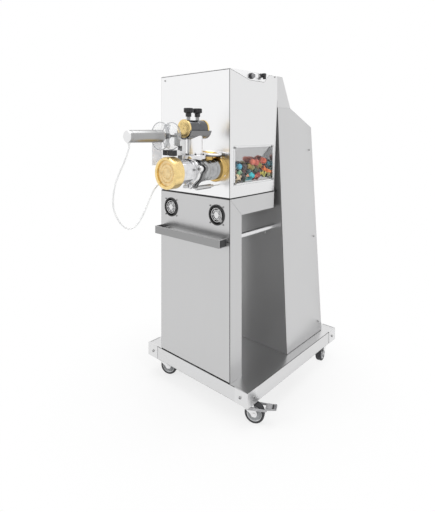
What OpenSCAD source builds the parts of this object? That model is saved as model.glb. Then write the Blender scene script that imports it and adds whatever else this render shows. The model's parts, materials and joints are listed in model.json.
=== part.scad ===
// Electric pasta maker on a wheeled stainless steel trolley.
// Axes: +X to the machine's right, +Y to its back, +Z up; the floor is z = 0.
// Modules are written from the front face: y = 0 there, and x = 0 is the middle of the tray.

/* [Trolley] */
// Width of the base tray
base_w = 600; // [560:5:680]
// Depth of the base tray, front to back
base_d = 735; // [715:5:820]
// Height of the deck's top face above the floor
deck_z = 144; // [140:1:170]
// Height of the skirt round the deck
skirt_h = 58; // [48:1:60]
// Side of the square tube under the deck
tube_s = 28; // [25:1:32]
// Length of each corner cap along the skirt
cap_l = 66; // [50:1:90]
// Distance of a caster's swivel axis from the tray's edges
caster_inset = 46; // [46:1:60]

/* [Casters] */
// Diameter of a caster wheel
wheel_d = 80; // [70:1:82]
// Width of a caster wheel
wheel_w = 30; // [24:1:34]
// Horizontal distance from swivel axis to axle
trail = 38; // [30:1:42]
// Diameter of a wheel's axle bolt
axle_d = 10; // [8:1:14]
// Length of the brake pedal beyond the wheel's axle
pedal_l = 88; // [70:1:100]

/* [Body] */
// Thickness of panels, walls and covers
sheet = 2; // [1.5:0.1:2.5]
// Width of the lower body and the upper housing
body_w = 420; // [400:5:450]
// Height of the lower body's top above the floor
body_z = 885; // [860:5:900]
// Height of the closed lid's top above the floor
top_z = 1414; // [1400:1:1450]
// Depth of the upper housing at its top
top_d = 340; // [330:1:341]
// Depth of the rear hood's flat top
hood_top_d = 44; // [38:1:60]
// How far the lower body stands in from the housing's back
back_step = 25; // [20:1:35]
// Depth of a front post, seen from the side
post_d = 76; // [60:1:90]
// Height of the rail over the open side bay
rail_h = 72; // [60:1:80]
// Height of the seam between the two front panels
seam_z = 712; // [700:1:730]
// Clearance between pieces that sit against each other
seat = 0.3; // [0.2:0.05:0.4]

/* [Lid] */
// Depth of the lid's side flange at its lowest stretch
flange_h = 36; // [30:1:40]
// Diameter of the hinge rod
hinge_d = 5; // [4:0.5:6]
// Diameter of the front latch knob
latch_a_d = 26; // [20:1:30]
// Diameter of the rear latch knob
latch_b_d = 36; // [30:1:40]

/* [Tower] */
// Width of the rear tower at its foot
tower_w = 520; // [505:1:540]
// Height of the tower's flat top
tower_z = 1270; // [1265:1:1280]
// Gap between the housing's back and the tower's front
tower_gap = 2; // [2:0.5:20]
// Depth of the tower's foot
tower_foot_d = 328; // [320:1:350]
// Depth of the tower's flat top
tower_top_d = 111; // [100:1:120]
// Diameter of the side handrails
handrail_d = 21; // [18:1:25]
// Height of the side handrails
handrail_z = 722; // [700:1:740]

/* [Extruder] */
// Height of the extruder's axis
axis_z = 1008; // [1000:1:1016]
// Distance of the extruder's axis from the body's right side
axis_in = 60; // [58:1:66]
// Bore of the extruder barrels
bore_d = 64; // [56:1:68]
// Outer diameter of the rear barrel
barrel_d = 88; // [86:1:96]
// Outer diameter of the brass rear ring
rear_ring_d = 107; // [104:1:112]
// Length of the brass rear ring
rear_ring_l = 30; // [28:1:46]
// Length of the rear barrel
rear_barrel_l = 102; // [84:1:108]
// Length of the clamp flange
flange_l = 40; // [34:1:44]
// Length of the front barrel that shows
front_barrel_l = 72; // [66:1:80]
// Outer diameter of the brass ring nut
nut_d = 118; // [114:1:124]
// Length of the brass ring nut
nut_l = 46; // [42:1:50]
// Thickness of the die
die_t = 14; // [10:1:16]
// Number of die openings
die_n = 12; // [8:1:16]
// Diameter of a die opening
die_hole_d = 8; // [5:0.5:10]
// Pitch of the auger's flight
auger_pitch = 42; // [36:1:50]
// Diameter of the auger shaft
shaft_d = 20; // [16:1:22]

/* [Upper unit] */
// Height of the upper unit's axis over the extruder's
unit_up = 162; // [156:1:170]
// Diameter of the upper cylinder
unit_d = 66; // [60:1:70]
// Length of the upper cylinder
unit_l = 90; // [84:1:96]
// Diameter of the vertical neck
neck_d = 62; // [56:1:66]
// Diameter of a hold-down knob
knob_d = 36; // [30:1:40]

/* [Cutter] */
// Distance of the cutter's axis from the body's right side
cutter_in = 90; // [86:1:94]
// Height of the cutter's axis
cutter_z = 1142; // [1138:1:1150]
// Distance from front face to the clear drum's rear wall
drum_e = 230; // [226:1:240]
// Diameter of the clear drum
drum_d = 104; // [96:1:108]
// Length of the clear drum
drum_l = 58; // [50:1:64]
// Length of the cutter motor
motor_l = 164; // [150:1:180]
// Diameter of the cutter motor
motor_d = 46; // [40:1:48]
// Diameter of the cutter shaft
cutter_shaft_d = 10; // [8:1:12]
// Diameter of the cutter motor's lead
lead_d = 6; // [5:0.5:7]

/* [Mixer] */
// Radius of the mixing tank's round floor
tank_r = 112; // [100:1:118]
// Height of the mixer shaft
mixer_z = 1218; // [1205:1:1220]
// Diameter of the mixer shaft
mixer_d = 24; // [20:1:28]
// Teeth on the drive sprocket
drive_teeth = 18; // [15:1:21]
// Teeth on the mixer sprocket
mixer_teeth = 24; // [20:1:26]
// Pitch of the roller chain
chain_pitch = 9.525; // [8:0.005:10]

/* [Fans] */
// Size of each square fan frame
fan_s = 80; // [70:1:80]
// Distance from one fan's centre to the other's
fan_gap = 279; // [260:1:290]
// Height of the fans' centres
fan_z = 815; // [810:1:818]

/* [Side window] */
// Front edge of the window, from the front face
window_y = 34; // [30:1:50]
// Distance from the window to the housing's back
window_back = 13; // [12:1:40]
// Height of the window's lower edge
window_z = 946; // [940:1:950]
// Height of the window
window_h = 146; // [130:1:150]
// Depth of the tray behind the window
tray_d = 43; // [38:1:44]

/* [Hidden] */

$fn = 64;
run_fit = 0.05;
tiny = 0.01;
steel = "#c9cbcd";
polished = "#e8eaec";
brass = "#c99a3c";
black = "#222326";
grey = "#7c7f83";

half_w = body_w / 2;
deck_under = deck_z - sheet;
cap_t = 1.5;
cap_out = seat + cap_t;

// Casters
caster_x = base_w / 2 - caster_inset;
caster_y = [caster_inset, base_d - caster_inset];
yaw_front = 25;
yaw_rear = -78;
wheel_r = wheel_d / 2;
pad_t = 4;
frame_z = deck_under - seat - tube_s;
pad_z = frame_z - pad_t;
swivel_t = 8;
fork_top = pad_z - seat;
leg_t = 3;
leg_gap = 2;
pedal_w = 30;
kingpin_d = 12;
pivot_x = 12;
pivot_z = wheel_r + 22;
pivot_d = 6;
arm_t = 2.5;
bolt_h = 4;

// Extruder stations, measured out from the front face
e1 = rear_ring_l;
e2 = e1 + rear_barrel_l;
e3 = e2 + flange_l;
e4 = e3 + front_barrel_l;
nut_step = 24;
die_back = e4 + nut_step;
e5 = e4 + nut_l;
axis_x = half_w - axis_in;
cutter_x = half_w - cutter_in;
front_barrel_d = barrel_d + 1;
die_d = front_barrel_d + 8;
nut_cavity_d = die_d + 2 * seat;

// Upper unit stations
unit_z = axis_z + unit_up;
unit_cap_t = 8;
unit_e = e2 - 32;
unit_front = unit_e + unit_l;
neck_e = e2 + 7;
cradle_t = 6;
unit_cap_d = unit_d + 4;

// Cutter stations
drum_front = drum_e + drum_l;
motor_e = drum_front - 17;
reach = motor_e + motor_l;

// Overall box, which the origin is centred under
pedal_reach = trail + pedal_l;
box_right = caster_x + pedal_reach * cos(yaw_front) + pedal_w / 2 * sin(yaw_front);
bolt_out = cap_out + seat + bolt_h;
mid_x = (base_w / 2 + bolt_out - box_right) / 2;
mid_y = (reach - base_d - bolt_out) / 2;

// Side profiles, as [y, z] points, counter-clockwise seen from the left
low_d = top_d - back_step;
window_l = low_d - window_y - window_back;
gap_h = 4;
housing_z = body_z + gap_h;
lid_z = top_z - sheet;
rim_z = lid_z - seat;
tower_foot_y = top_d + tower_gap;
tower = [[tower_foot_y, deck_z + seat], [tower_foot_y + tower_foot_d, deck_z + seat],
  [tower_foot_y + tower_foot_d - 25, tower_z - 90], [tower_foot_y + tower_top_d, tower_z],
  [tower_foot_y, tower_z]];
// The tower's sides lean in from its foot to the housing's width at its top
tower_lean = atan((tower_w / 2 - half_w) / (tower_z - tower[0].y));
function tower_half(z) = half_w + (tower_z - z) * tan(tower_lean);
function unit(v) = v / norm(v);
function left(v) = [-v.y, v.x];
function inset(p, t) = [for (i = [0:len(p) - 1])
  let (a = p[(i + len(p) - 1) % len(p)], b = p[i], c = p[(i + 1) % len(p)],
       m = left(unit(b - a)) + left(unit(c - b)))
  b + m * t / (m * left(unit(b - a)))];

// Lid side flange, as [y, z] points along its lower edge
flange_a = 134;
flange_b = 236;
flange_run = 34;
hinge_y = top_d - 20;
hinge_z = top_z - 5;

// Chain
function pitch_r(n) = chain_pitch / 2 / sin(180 / n);
chain_y = tower_foot_y + 8;
sprocket_t = 5;
chain_w = 6;
chain_t = 5;
tooth_h = 2.5;

// ---- helpers ----
module block(a, b) {
  translate(a) cube([b.x - a.x, b.y - a.y, b.z - a.z]);
}

module placed() {
  translate([mid_x, mid_y, 0]) children();
}

// Extrudes a [y, z] outline along X from x0 to x1
module side_extrude(x0, x1) {
  translate([x0, 0, 0]) rotate([90, 0, 90]) linear_extrude(x1 - x0) children();
}

// Local z runs out of the front face, along -Y
module out_front(x, z) {
  translate([x, 0, z]) rotate([90, 0, 0]) children();
}

module ring(d_out, d_in, z0, z1) {
  difference() {
    translate([0, 0, z0]) cylinder(d = d_out, h = z1 - z0);
    translate([0, 0, z0 - 1]) cylinder(d = d_in, h = z1 - z0 + 2);
  }
}

// A panel folded back on all four sides
module pan(x0, x1, z0, z1, depth) {
  difference() {
    block([x0, 0, z0], [x1, depth, z1]);
    block([x0 + 2 * sheet + seat, sheet, z0 + sheet], [x1 - 2 * sheet - seat, depth + 1, z1 - sheet]);
    for (s = [x0 - 1, x1 - sheet - seat])
      block([s, sheet, z0 - 1], [s + 1 + sheet + seat, depth + 1, z1 + 1]);
  }
}

// ---- trolley ----
module bolt_places() {
  for (x = [-1, 1], y = [cap_l * 0.55, base_d - cap_l * 0.55])
    translate([x * base_w / 2, y, deck_z - skirt_h * 0.5]) rotate([0, 90 * x, 0]) children();
  for (x = [-1, 1], y = [0, 1])
    translate([x * (base_w / 2 - cap_l * 0.55), y * base_d, deck_z - skirt_h * 0.5])
      rotate([y == 0 ? 90 : -90, 0, 0]) children();
}

module base_tray() {
  color(steel) placed() difference() {
    block([-base_w / 2, 0, deck_z - skirt_h], [base_w / 2, base_d, deck_z]);
    block([sheet - base_w / 2, sheet, 0], [base_w / 2 - sheet, base_d - sheet, deck_under]);
    bolt_places() translate([0, 0, -10]) cylinder(d = 6 + 2 * seat, h = 20, $fn = 24);
  }
}

module base_frame() {
  o = base_w / 2 - sheet - 12;
  color(grey) placed() {
    difference() {
      union() {
        block([-o, sheet + 12, frame_z], [o, base_d - sheet - 12, deck_under - seat]);
        for (x = [-1, 1], y = caster_y)
          translate([x * caster_x, y, pad_z + pad_t / 2]) cube([62, 62, pad_t], center = true);
      }
      block([tube_s - o, sheet + 12 + tube_s, frame_z - 1],
        [o - tube_s, base_d - sheet - 12 - tube_s, deck_z]);
      for (x = [-1, 1], y = caster_y)
        translate([x * caster_x, y, pad_z - 1]) cylinder(d = kingpin_d + 2 * run_fit, h = 19);
    }
  }
}

module corner_caps() {
  h = base_w / 2 + cap_out;
  color(polished) placed() difference() {
    for (x = [-1, 1], y = [0, 1])
      translate([x * h, y == 0 ? -cap_out : base_d + cap_out, deck_z - skirt_h])
        mirror([x > 0 ? 1 : 0, 0, 0]) mirror([0, y, 0]) difference() {
          cube([cap_l, cap_l, skirt_h]);
          translate([cap_t, cap_t, -1]) cube([cap_l, cap_l, skirt_h + 2]);
        }
    bolt_places() translate([0, 0, -10]) cylinder(d = 6 + 2 * seat, h = 20, $fn = 24);
  }
}

leg_y = wheel_w / 2 + leg_gap;
module caster_frame(x, y, yaw) {
  placed() translate([x, y, 0]) rotate([0, 0, yaw]) children();
}

module fork(x, y, yaw, pins) {
  w = leg_y + leg_t;
  color(polished) caster_frame(x, y, yaw) {
    translate([0, 0, fork_top - swivel_t]) cylinder(d = 52, h = swivel_t);
    translate([0, 0, fork_top - 1]) cylinder(d = kingpin_d, h = 18);
    translate([-20, -w, fork_top - swivel_t - leg_t]) cube([50, 2 * w, leg_t + tiny]);
    for (s = [-w, leg_y]) translate([0, s + leg_t, 0]) rotate([90, 0, 0]) linear_extrude(leg_t)
      polygon([[-20, fork_top - swivel_t - 1], [-14, wheel_r + 28], [trail - 15, wheel_r + 2],
        [trail - 9, wheel_r - 9],
        [trail + 9, wheel_r - 9], [trail + 13, wheel_r + 4], [34, wheel_r + 44],
          [30, fork_top - swivel_t - 1]]);
    translate([trail, w + 4, wheel_r]) rotate([90, 0, 0]) cylinder(d = axle_d, h = 2 * w + 8);
    for (s = [-1, 1]) translate([trail, s * (w + 2), wheel_r]) rotate([90, 0, 0])
      cylinder(d = axle_d + 7, h = 4, center = true, $fn = 6);
    if (pins) for (s = [-1, 1]) translate([pivot_x, s * (w + arm_t), pivot_z]) rotate([90, 0, 0])
      cylinder(d = pivot_d, h = 2 * arm_t, center = true);
  }
}

// Pedal that presses on the tyre of the front right caster
module brake_pedal() {
  w = leg_y + leg_t + seat;
  x0 = trail + wheel_r + 4;
  color(black) caster_frame(caster_x, caster_y[0], yaw_front) difference() {
    union() {
      for (s = [-1, 1]) translate([0, s * (w + arm_t / 2) + arm_t / 2, 0]) rotate([90, 0, 0])
        linear_extrude(arm_t)
        polygon([[pivot_x - 6, pivot_z - 5], [pivot_x + 2, pivot_z - 6], [x0, pivot_z - 2],
          [x0 + 6, pivot_z],
          [x0 + 6, pivot_z + 6], [x0, pivot_z + 6], [pivot_x, pivot_z + 6], [pivot_x - 6, pivot_z + 4]]);
      translate([x0, 0, 0]) rotate([90, 0, 0]) linear_extrude(2 * (w + arm_t), center = true)
        polygon([[0, pivot_z], [4, pivot_z - 1], [8, pivot_z + 1], [8, pivot_z + 6], [0, pivot_z + 6]]);
      translate([x0 + 4, 0, 0]) rotate([90, 0, 0]) linear_extrude(pedal_w, center = true)
        polygon([[0, pivot_z], [trail + pedal_l - x0 - 4, pivot_z + 7],
          [trail + pedal_l - x0 - 4, pivot_z + 11],
          [trail + pedal_l - x0 - 8, pivot_z + 13], [0, pivot_z + 6]]);
    }
    translate([pivot_x, 0, pivot_z]) rotate([90, 0, 0]) cylinder(d = pivot_d + 2 * run_fit, h = 100,
      center = true);
  }
}

module caster_wheel(x, y, yaw) {
  color(black) caster_frame(x, y, yaw) translate([trail, 0, wheel_r])
    rotate([90, 0, 0]) rotate_extrude() polygon([
      [axle_d / 2 + run_fit, -wheel_w / 2], [wheel_r * 0.35, -wheel_w / 2],
        [wheel_r * 0.4, 4 - wheel_w / 2],
      [wheel_r * 0.72, 4 - wheel_w / 2], [wheel_r * 0.76, 1 - wheel_w / 2], [wheel_r - 4, 1 - wheel_w / 2],
      [wheel_r, 6 - wheel_w / 2], [wheel_r, wheel_w / 2 - 6], [wheel_r - 4, wheel_w / 2 - 1],
      [wheel_r * 0.76, wheel_w / 2 - 1], [wheel_r * 0.72, wheel_w / 2 - 4],
        [wheel_r * 0.4, wheel_w / 2 - 4],
      [wheel_r * 0.35, wheel_w / 2], [axle_d / 2 + run_fit, wheel_w / 2]]);
}

// ---- body ----
module front_panel() {
  color(steel) placed() pan(-half_w, half_w, deck_z + gap_h, seam_z - seat, 22);
}

module fan_places() {
  for (s = [-1, 1]) out_front(s * fan_gap / 2, fan_z) children();
}

fan_pitch = fan_s * 0.894;
module fan_holes(d) {
  for (x = [-1, 1], y = [-1, 1]) translate([x * fan_pitch / 2, y * fan_pitch / 2, -12])
    cylinder(d = d, h = 24, $fn = 24);
}

module control_panel() {
  color(steel) placed() difference() {
    pan(-half_w, half_w, seam_z, body_z, 22);
    fan_places() {
      translate([0, 0, -6]) cylinder(d = fan_s - 4, h = 12);
      fan_holes(4 + 2 * seat);
    }
  }
}

rail_z = body_z - rail_h;
module side_frame(s) {
  x1 = s > 0 ? half_w : -half_w + sheet;
  y0 = sheet + seat;
  r = 30;
  xr = s > 0 ? half_w - r : -half_w;
  side_extrude(x1 - sheet, x1) difference() {
    polygon([[y0, deck_z + seat], [post_d, deck_z + seat], [post_d, rail_z], [low_d - 5, rail_z],
      [low_d, body_z - seat], [y0, body_z - seat]]);
    polygon([[y0 + 4, body_z - 4], [y0 + 4.8, body_z - 4], [post_d - 2, rail_z + 2.4],
      [post_d - 2, rail_z + 1.6]]);
  }
  difference() {
    union() {
      block([xr, post_d - sheet, deck_z + seat], [xr + r, post_d, rail_z + sheet]);
      block([xr, post_d - sheet, rail_z], [xr + r, low_d - 7, rail_z + sheet]);
    }
    translate([s * (half_w - handrail_d / 2 - 4), 0, handrail_z]) rotate([-90, 0, 0])
      cylinder(d = 8 + 2 * seat, h = post_d + 10);
  }
}

module side_frames() {
  color(steel) placed() for (s = [-1, 1]) side_frame(s);
}

bar_h = 34;
bar_e = 43;
bar_t = 5;
module handle_bar() {
  l = half_w - 14;
  color(steel) placed() translate([0, 0, seam_z]) {
    block([-l, -bar_e - bar_t, -bar_h / 2], [l, -bar_e, bar_h / 2]);
    for (s = [-1, 1]) {
      block([s * (l - bar_t / 2) - bar_t / 2, -bar_e - tiny, -bar_h / 2],
        [s * (l - bar_t / 2) + bar_t / 2, -seat, bar_h / 2]);
      translate([s * (l - 24), 0, 0]) rotate([90, 0, 0]) translate([0, 0, seat]) cylinder(d = 16,
        h = bar_e);
    }
  }
}

module handrails() {
  y1 = tower_foot_y - seat;
  color(steel) placed() for (s = [-1, 1])
    translate([s * (half_w - handrail_d / 2 - 4), 0, handrail_z]) rotate([-90, 0, 0]) {
      difference() {
        translate([0, 0, post_d + seat]) cylinder(d = handrail_d, h = y1 - post_d - seat);
        translate([0, 0, post_d + 20]) cylinder(d = handrail_d - 3, h = y1 - post_d);
      }
      translate([0, 0, post_d - 12]) cylinder(d = 8, h = 13);
      translate([0, 0, post_d - sheet - seat - 5]) cylinder(d = 14, h = 5, $fn = 6);
    }
}

module mid_deck() {
  w = half_w - 34;
  z0 = rail_z + sheet + seat;
  y1 = tower_foot_y - seat;
  color(grey) placed() {
    block([3 * seat + sheet - half_w, 3, body_z], [half_w - sheet - 3 * seat, y1, housing_z - seat]);
    for (s = [-w, w - sheet]) block([s, 30, z0], [s + sheet, y1, body_z + tiny]);
    for (x = [-half_w + sheet + seat, w - sheet])
      block([x, 30, z0], [x + half_w - w - seat, y1 - 12, z0 + sheet]);
    block([-w, y1 - sheet, z0], [w, y1, body_z + tiny]);
  }
}

box_w = 300;
box_d = 200;
box_y = fan_s - 18;
module control_box() {
  color(grey) placed() difference() {
    union() {
      block([-box_w / 2, box_y, rail_z + 12], [box_w / 2, box_y + box_d, body_z - seat]);
      for (i = [-7:7]) block([i * 18 - 1, box_y - 8, rail_z + 18], [i * 18 + 1, box_y + 1, body_z - 10]);
    }
    for (x = [-100, -60, 60, 100]) translate([x, box_y + box_d + 8, rail_z + 34]) rotate([90, 0, 0])
      cylinder(d = 12, h = 20, $fn = 24);
  }
}

// ---- upper housing and lid ----
housing = [[0, housing_z], [low_d, housing_z], [top_d, top_z - 120], [top_d, rim_z], [0, rim_z]];
function flange_edge(g) = [[4, lid_z - g], [flange_a, top_z - flange_h - g],
  [flange_b, top_z - flange_h - g],
  [flange_b + flange_run, lid_z - 4 - g]];

module window_cut(grow) {
  block([half_w - sheet - 1, window_y - grow, window_z - grow],
    [half_w + 1, window_y + window_l + grow, window_z + window_h + grow]);
}

module upper_housing() {
  inner = inset(housing, sheet);
  color(polished) placed() difference() {
    side_extrude(-half_w, half_w) polygon(housing);
    side_extrude(sheet - half_w, half_w - sheet)
      polygon([inner[0], inner[1], inner[2], [inner[3].x, top_z + 9], [inner[4].x, top_z + 9]]);
    // stepped side edges under the lid's flanges
    side_extrude(-half_w - 1, half_w + 1)
      polygon(concat(flange_edge(1), [[flange_b + flange_run, top_z + 9], [4, top_z + 9]]));
    // low back edge behind the hinge rod
    block([sheet - half_w, top_d - 12, hinge_z - 12], [half_w - sheet, top_d + 1, top_z + 1]);
    window_cut(0);
    translate([0, hinge_y, hinge_z]) rotate([0, 90, 0])
      cylinder(d = hinge_d + 2 * run_fit, h = body_w + 2, center = true, $fn = 32);
    out_front(axis_x, axis_z) translate([0, 0, -low_d - 40]) cylinder(d = shaft_d + 8, h = low_d + 50);
    translate([0, top_d + 10, mixer_z]) rotate([90, 0, 0]) cylinder(d = mixer_d + 8, h = 60);
  }
}

module lid() {
  front = 1;
  color(polished) placed() difference() {
    union() {
      block([-half_w, 0, lid_z], [half_w, hinge_y, top_z]);
      for (x = [-half_w, half_w - sheet]) side_extrude(x, x + sheet)
        polygon(concat(flange_edge(0), [[flange_b + flange_run, lid_z + tiny], [4, lid_z + tiny]]));
      for (x = [-120, 0, 120]) translate([x, hinge_y, hinge_z]) rotate([0, 90, 0])
        cylinder(d = hinge_d + 5, h = 40, center = true);
      for (x = [-120, 0, 120])
        block([x - 20, hinge_y - 8, hinge_z], [x + 20, hinge_y, lid_z + tiny]);
    }
    translate([0, hinge_y, hinge_z]) rotate([0, 90, 0])
      cylinder(d = hinge_d + 2 * run_fit, h = body_w, center = true, $fn = 32);
    // rear corners clear the housing's side walls as the lid swings up
    for (s = [-1, 1]) block([s * half_w - sheet - seat, hinge_y - 14, lid_z - 1],
      [s * half_w + sheet + seat, hinge_y + 1, top_z + 1]);
    for (p = [[latch_ya, latch_za], [latch_yb, latch_zb]]) translate([half_w - sheet - 1, p.x, p.y])
      rotate([0, 90, 0]) cylinder(d = latch_pin + 2 * run_fit, h = sheet + 2, $fn = 32);
  }
}

module lid_hinge() {
  color(grey) placed() translate([0, hinge_y, hinge_z]) rotate([0, 90, 0]) {
    cylinder(d = hinge_d, h = body_w + 2, center = true, $fn = 32);
    for (s = [-1, 1]) translate([0, 0, s * (half_w + 1.4)]) cylinder(d = hinge_d + 3, h = 2, center = true);
  }
}

latch_ya = 142;
latch_yb = 218;
latch_pin = 8;
latch_za = top_z - 18;
latch_zb = top_z - 9;
module latch(y, z, d, l) {
  color(black) placed() translate([half_w, y, z]) rotate([0, 90, 0]) {
    translate([0, 0, seat]) difference() {
      cylinder(d = d, h = l);
      for (a = [0:60:300]) rotate([0, 0, a]) translate([d / 2 + 1.5, 0, -1]) cylinder(d = 7,
        h = l + 2, $fn = 24);
    }
    translate([0, 0, -sheet - 7]) cylinder(d = latch_pin, h = sheet + 8);
    translate([-4, -5, -sheet - 7]) cube([16, 10, 3]);
  }
}

// ---- rear hood and tower ----
module rear_hood() {
  p = [[top_d + seat, tower_z + seat], [tower[3].x, tower_z + seat], [top_d + hood_top_d, top_z],
    [top_d + seat, top_z]];
  q = inset(p, sheet);
  color(polished) placed() difference() {
    side_extrude(-half_w, half_w) polygon(p);
    side_extrude(sheet - half_w, half_w - sheet)
      polygon([[p[0].x - 9, p[0].y - 9], [q[1].x + 3, p[0].y - 9], q[1], q[2], [p[0].x - 9, q[2].y]]);
  }
}

module tower_sides(in) {
  g = in / cos(tower_lean);
  z0 = deck_z - 50;
  z1 = tower_z + 50;
  translate([0, 900, 0]) rotate([90, 0, 0]) linear_extrude(900)
    polygon([[g - tower_half(z0), z0], [tower_half(z0) - g, z0], [tower_half(z1) - g, z1],
      [g - tower_half(z1), z1]]);
}

module tower_shell() {
  q = inset(tower, sheet);
  h = tower_w / 2;
  color(steel) placed() {
    difference() {
      intersection() {
        side_extrude(-h, h) polygon(tower);
        tower_sides(0);
      }
      intersection() {
        side_extrude(-h, h)
          polygon([[q[0].x - 30, 0], [q[1].x + 15, 0], q[1], q[2], q[3], [q[4].x - 30, q[4].y]]);
        tower_sides(sheet);
      }
    }
    intersection() {
      block([-h, chain_y + 24, shelf_z - 3], [h, 560, shelf_z]);
      tower_sides(sheet / 2);
    }
  }
}

module tower_front_wall() {
  h = tower_w / 2;
  color(grey) placed() difference() {
    intersection() {
      block([-h, tower_foot_y, tower[0].y], [h, tower_foot_y + sheet, tower_z - sheet - seat]);
      tower_sides(sheet + seat);
    }
    for (p = [[0, mixer_z, mixer_d + 8], [axis_x, axis_z, shaft_d + 8]])
      translate([p[0], tower_foot_y + sheet + 1, p[1]]) rotate([90, 0, 0]) cylinder(d = p[2],
        h = sheet + 2);
  }
}

// ---- window tray ----
tray_x0 = half_w - sheet - tray_d;
tray_x1 = half_w - sheet - seat;
floor_rise = 38;
pane_t = 2;
module display_tray() {
  y0 = window_y - 8;
  y1 = window_y + window_l + 4;
  z0 = window_z - 6;
  z1 = window_z + window_h + 6;
  color(polished) placed() translate([0, y1, 0]) rotate([90, 0, 0]) difference() {
    linear_extrude(y1 - y0)
      polygon([[tray_x1, z0], [tray_x1, z1], [tray_x1 - 3, z1], [tray_x0, window_z + floor_rise + 3],
        [tray_x0, window_z + floor_rise - 3], [tray_x1 - 3, z0]]);
    translate([0, 0, sheet]) linear_extrude(y1 - y0 - 2 * sheet)
      polygon([[tray_x1 + 1, window_z], [tray_x1 + 1, z1 - sheet], [tray_x1 - 3, z1 - sheet],
        [tray_x0 + sheet, window_z + floor_rise + 1], [tray_x0 + sheet, window_z + floor_rise - 1],
        [tray_x1 - 3, window_z]]);
  }
}

module display_pane() {
  color([0.9, 0.95, 1, 0.3]) placed()
    block([half_w + seat, window_y - 9, window_z - 8],
      [half_w + seat + pane_t, window_y + window_l + 3, window_z + window_h + 8]);
}

// Pieces lie in the angle between the sloping floor and the pane
piece_n = 8;
function piece_r(i) = 13 + 1.5 * sin(i * 137);
module display_pieces() {
  slope = atan(floor_rise / tray_d);
  step = (window_l - 44) / (piece_n - 1);
  color("orange") placed() for (i = [0:piece_n - 1])
    let (r = piece_r(i), x = half_w - r - seat,
      z = window_z + (half_w - x) * tan(slope) + (r + 1) / cos(slope))
    translate([x, window_y + 22 + i * step, z])
      rotate([0, 0, 0]) rotate([90, 0, 0]) intersection() {
        sphere(r = r, $fn = 24);
        cylinder(r = r, h = 1.7 * r, center = true, $fn = 24);
      }
}

// ---- mixer ----
tank_y0 = 18;
tank_y1 = low_d - 24;
tank_top = hinge_z - 29;
module mixing_tank() {
  color(polished) placed() difference() {
    union() {
      translate([0, tank_y1, mixer_z]) rotate([90, 0, 0]) cylinder(r = tank_r, h = tank_y1 - tank_y0);
      block([-tank_r, tank_y0, mixer_z], [tank_r, tank_y1, tank_top]);
      block([sheet + seat - half_w, sheet + seat, tank_top - 2],
        [half_w - sheet - seat, top_d - sheet - seat - 2, tank_top]);
    }
    translate([0, tank_y1 - sheet, mixer_z]) rotate([90, 0, 0])
      cylinder(r = tank_r - sheet, h = tank_y1 - tank_y0 - 2 * sheet);
    block([sheet - tank_r, tank_y0 + sheet, mixer_z], [tank_r - sheet, tank_y1 - sheet, tank_top + 1]);
    translate([0, tank_y1 + 9, mixer_z]) rotate([90, 0, 0]) cylinder(d = mixer_d + 2, h = tank_y1);
  }
}

module mixer_shaft() {
  l = tank_y1 - tank_y0;
  color(polished) placed() {
    translate([0, chain_y + sprocket_t + 6, mixer_z]) rotate([90, 0, 0])
      cylinder(d = mixer_d, h = chain_y + sprocket_t + 6 - sheet - 4);
    for (i = [0:5]) translate([0, tank_y0 + l * (i + 0.7) / 6.4, mixer_z]) rotate([0, i * 60, 0])
      rotate([0, 0, 28]) translate([-4, -13, 0]) cube([8, 26, tank_r - sheet - 12]);
    translate([0, chain_y + sprocket_t / 2, mixer_z]) rotate([90, 0, 0])
      sprocket(mixer_teeth, mixer_d + 14);
  }
}

module shaft_bearings() {
  color(grey) placed() {
    out_front(0, mixer_z) {
      ring(56, mixer_d + 2 * run_fit, seat - tank_y0, -sheet - seat);
      ring(56, mixer_d + 2 * run_fit, -tank_y1 - 14, -tank_y1 - seat);
    }
    out_front(axis_x, axis_z) ring(bearing_d, shaft_d + 2 * run_fit, 6, 24);
  }
}

module sprocket(teeth, hub_d) {
  r = pitch_r(teeth);
  cylinder(r = r - tooth_h, h = sprocket_t, center = true);
  for (i = [0:teeth - 1]) rotate([0, 0, i * 360 / teeth]) translate([r - tooth_h - 1, 0, 0])
    linear_extrude(sprocket_t, center = true)
    polygon([[0, -2.6], [tooth_h + 1, -0.9], [tooth_h + 1, 0.9], [0, 2.6]]);
  translate([0, 0, -sprocket_t / 2 - 6]) cylinder(d = hub_d, h = 7);
}

module chain_loop(grow) {
  hull() {
    translate([0, mixer_z]) circle(r = pitch_r(mixer_teeth) + grow, $fn = 40);
    translate([axis_x, axis_z]) circle(r = pitch_r(drive_teeth) + grow, $fn = 40);
  }
}

module drive_chain() {
  color(grey) placed() translate([0, chain_y + sprocket_t / 2 + chain_w / 2, 0]) rotate([90, 0, 0])
    linear_extrude(chain_w) difference() {
      chain_loop(chain_t + 0.5);
      chain_loop(0.5);
    }
}

gear_drop = 68;
shelf_z = axis_z - gear_drop;
module gearmotor() {
  y0 = chain_y + 24;
  color(grey) placed() {
    difference() {
      union() {
        block([axis_x - 50, y0, axis_z - 60], [axis_x + 50, y0 + 80, axis_z + 55]);
        block([axis_x - 62, y0, shelf_z + seat], [axis_x + 62, y0 + 80, axis_z - 56]);
        translate([axis_x, y0 + 79, axis_z]) rotate([-90, 0, 0]) cylinder(d = 104, h = 100);
        translate([axis_x, y0 + 179, axis_z]) rotate([-90, 0, 0]) cylinder(d = 96, h = 18);
        for (a = [0:20:340]) translate([axis_x, y0 + 84, axis_z]) rotate([0, a, 0])
          block([-1, 0, 50], [1, 90, 56]);
      }
      translate([axis_x, y0 - 1, axis_z]) rotate([-90, 0, 0]) cylinder(d = shaft_d + 2 * run_fit, h = 61);
    }
  }
}

module drive_shaft() {
  y1 = chain_y + 24 + 56;
  color(polished) placed() {
    translate([axis_x, y1, axis_z]) rotate([90, 0, 0]) cylinder(d = shaft_d, h = y1 + e1 - 6);
    translate([axis_x, chain_y + sprocket_t / 2, axis_z]) rotate([90, 0, 0])
      sprocket(drive_teeth, shaft_d + 14);
  }
}

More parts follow.
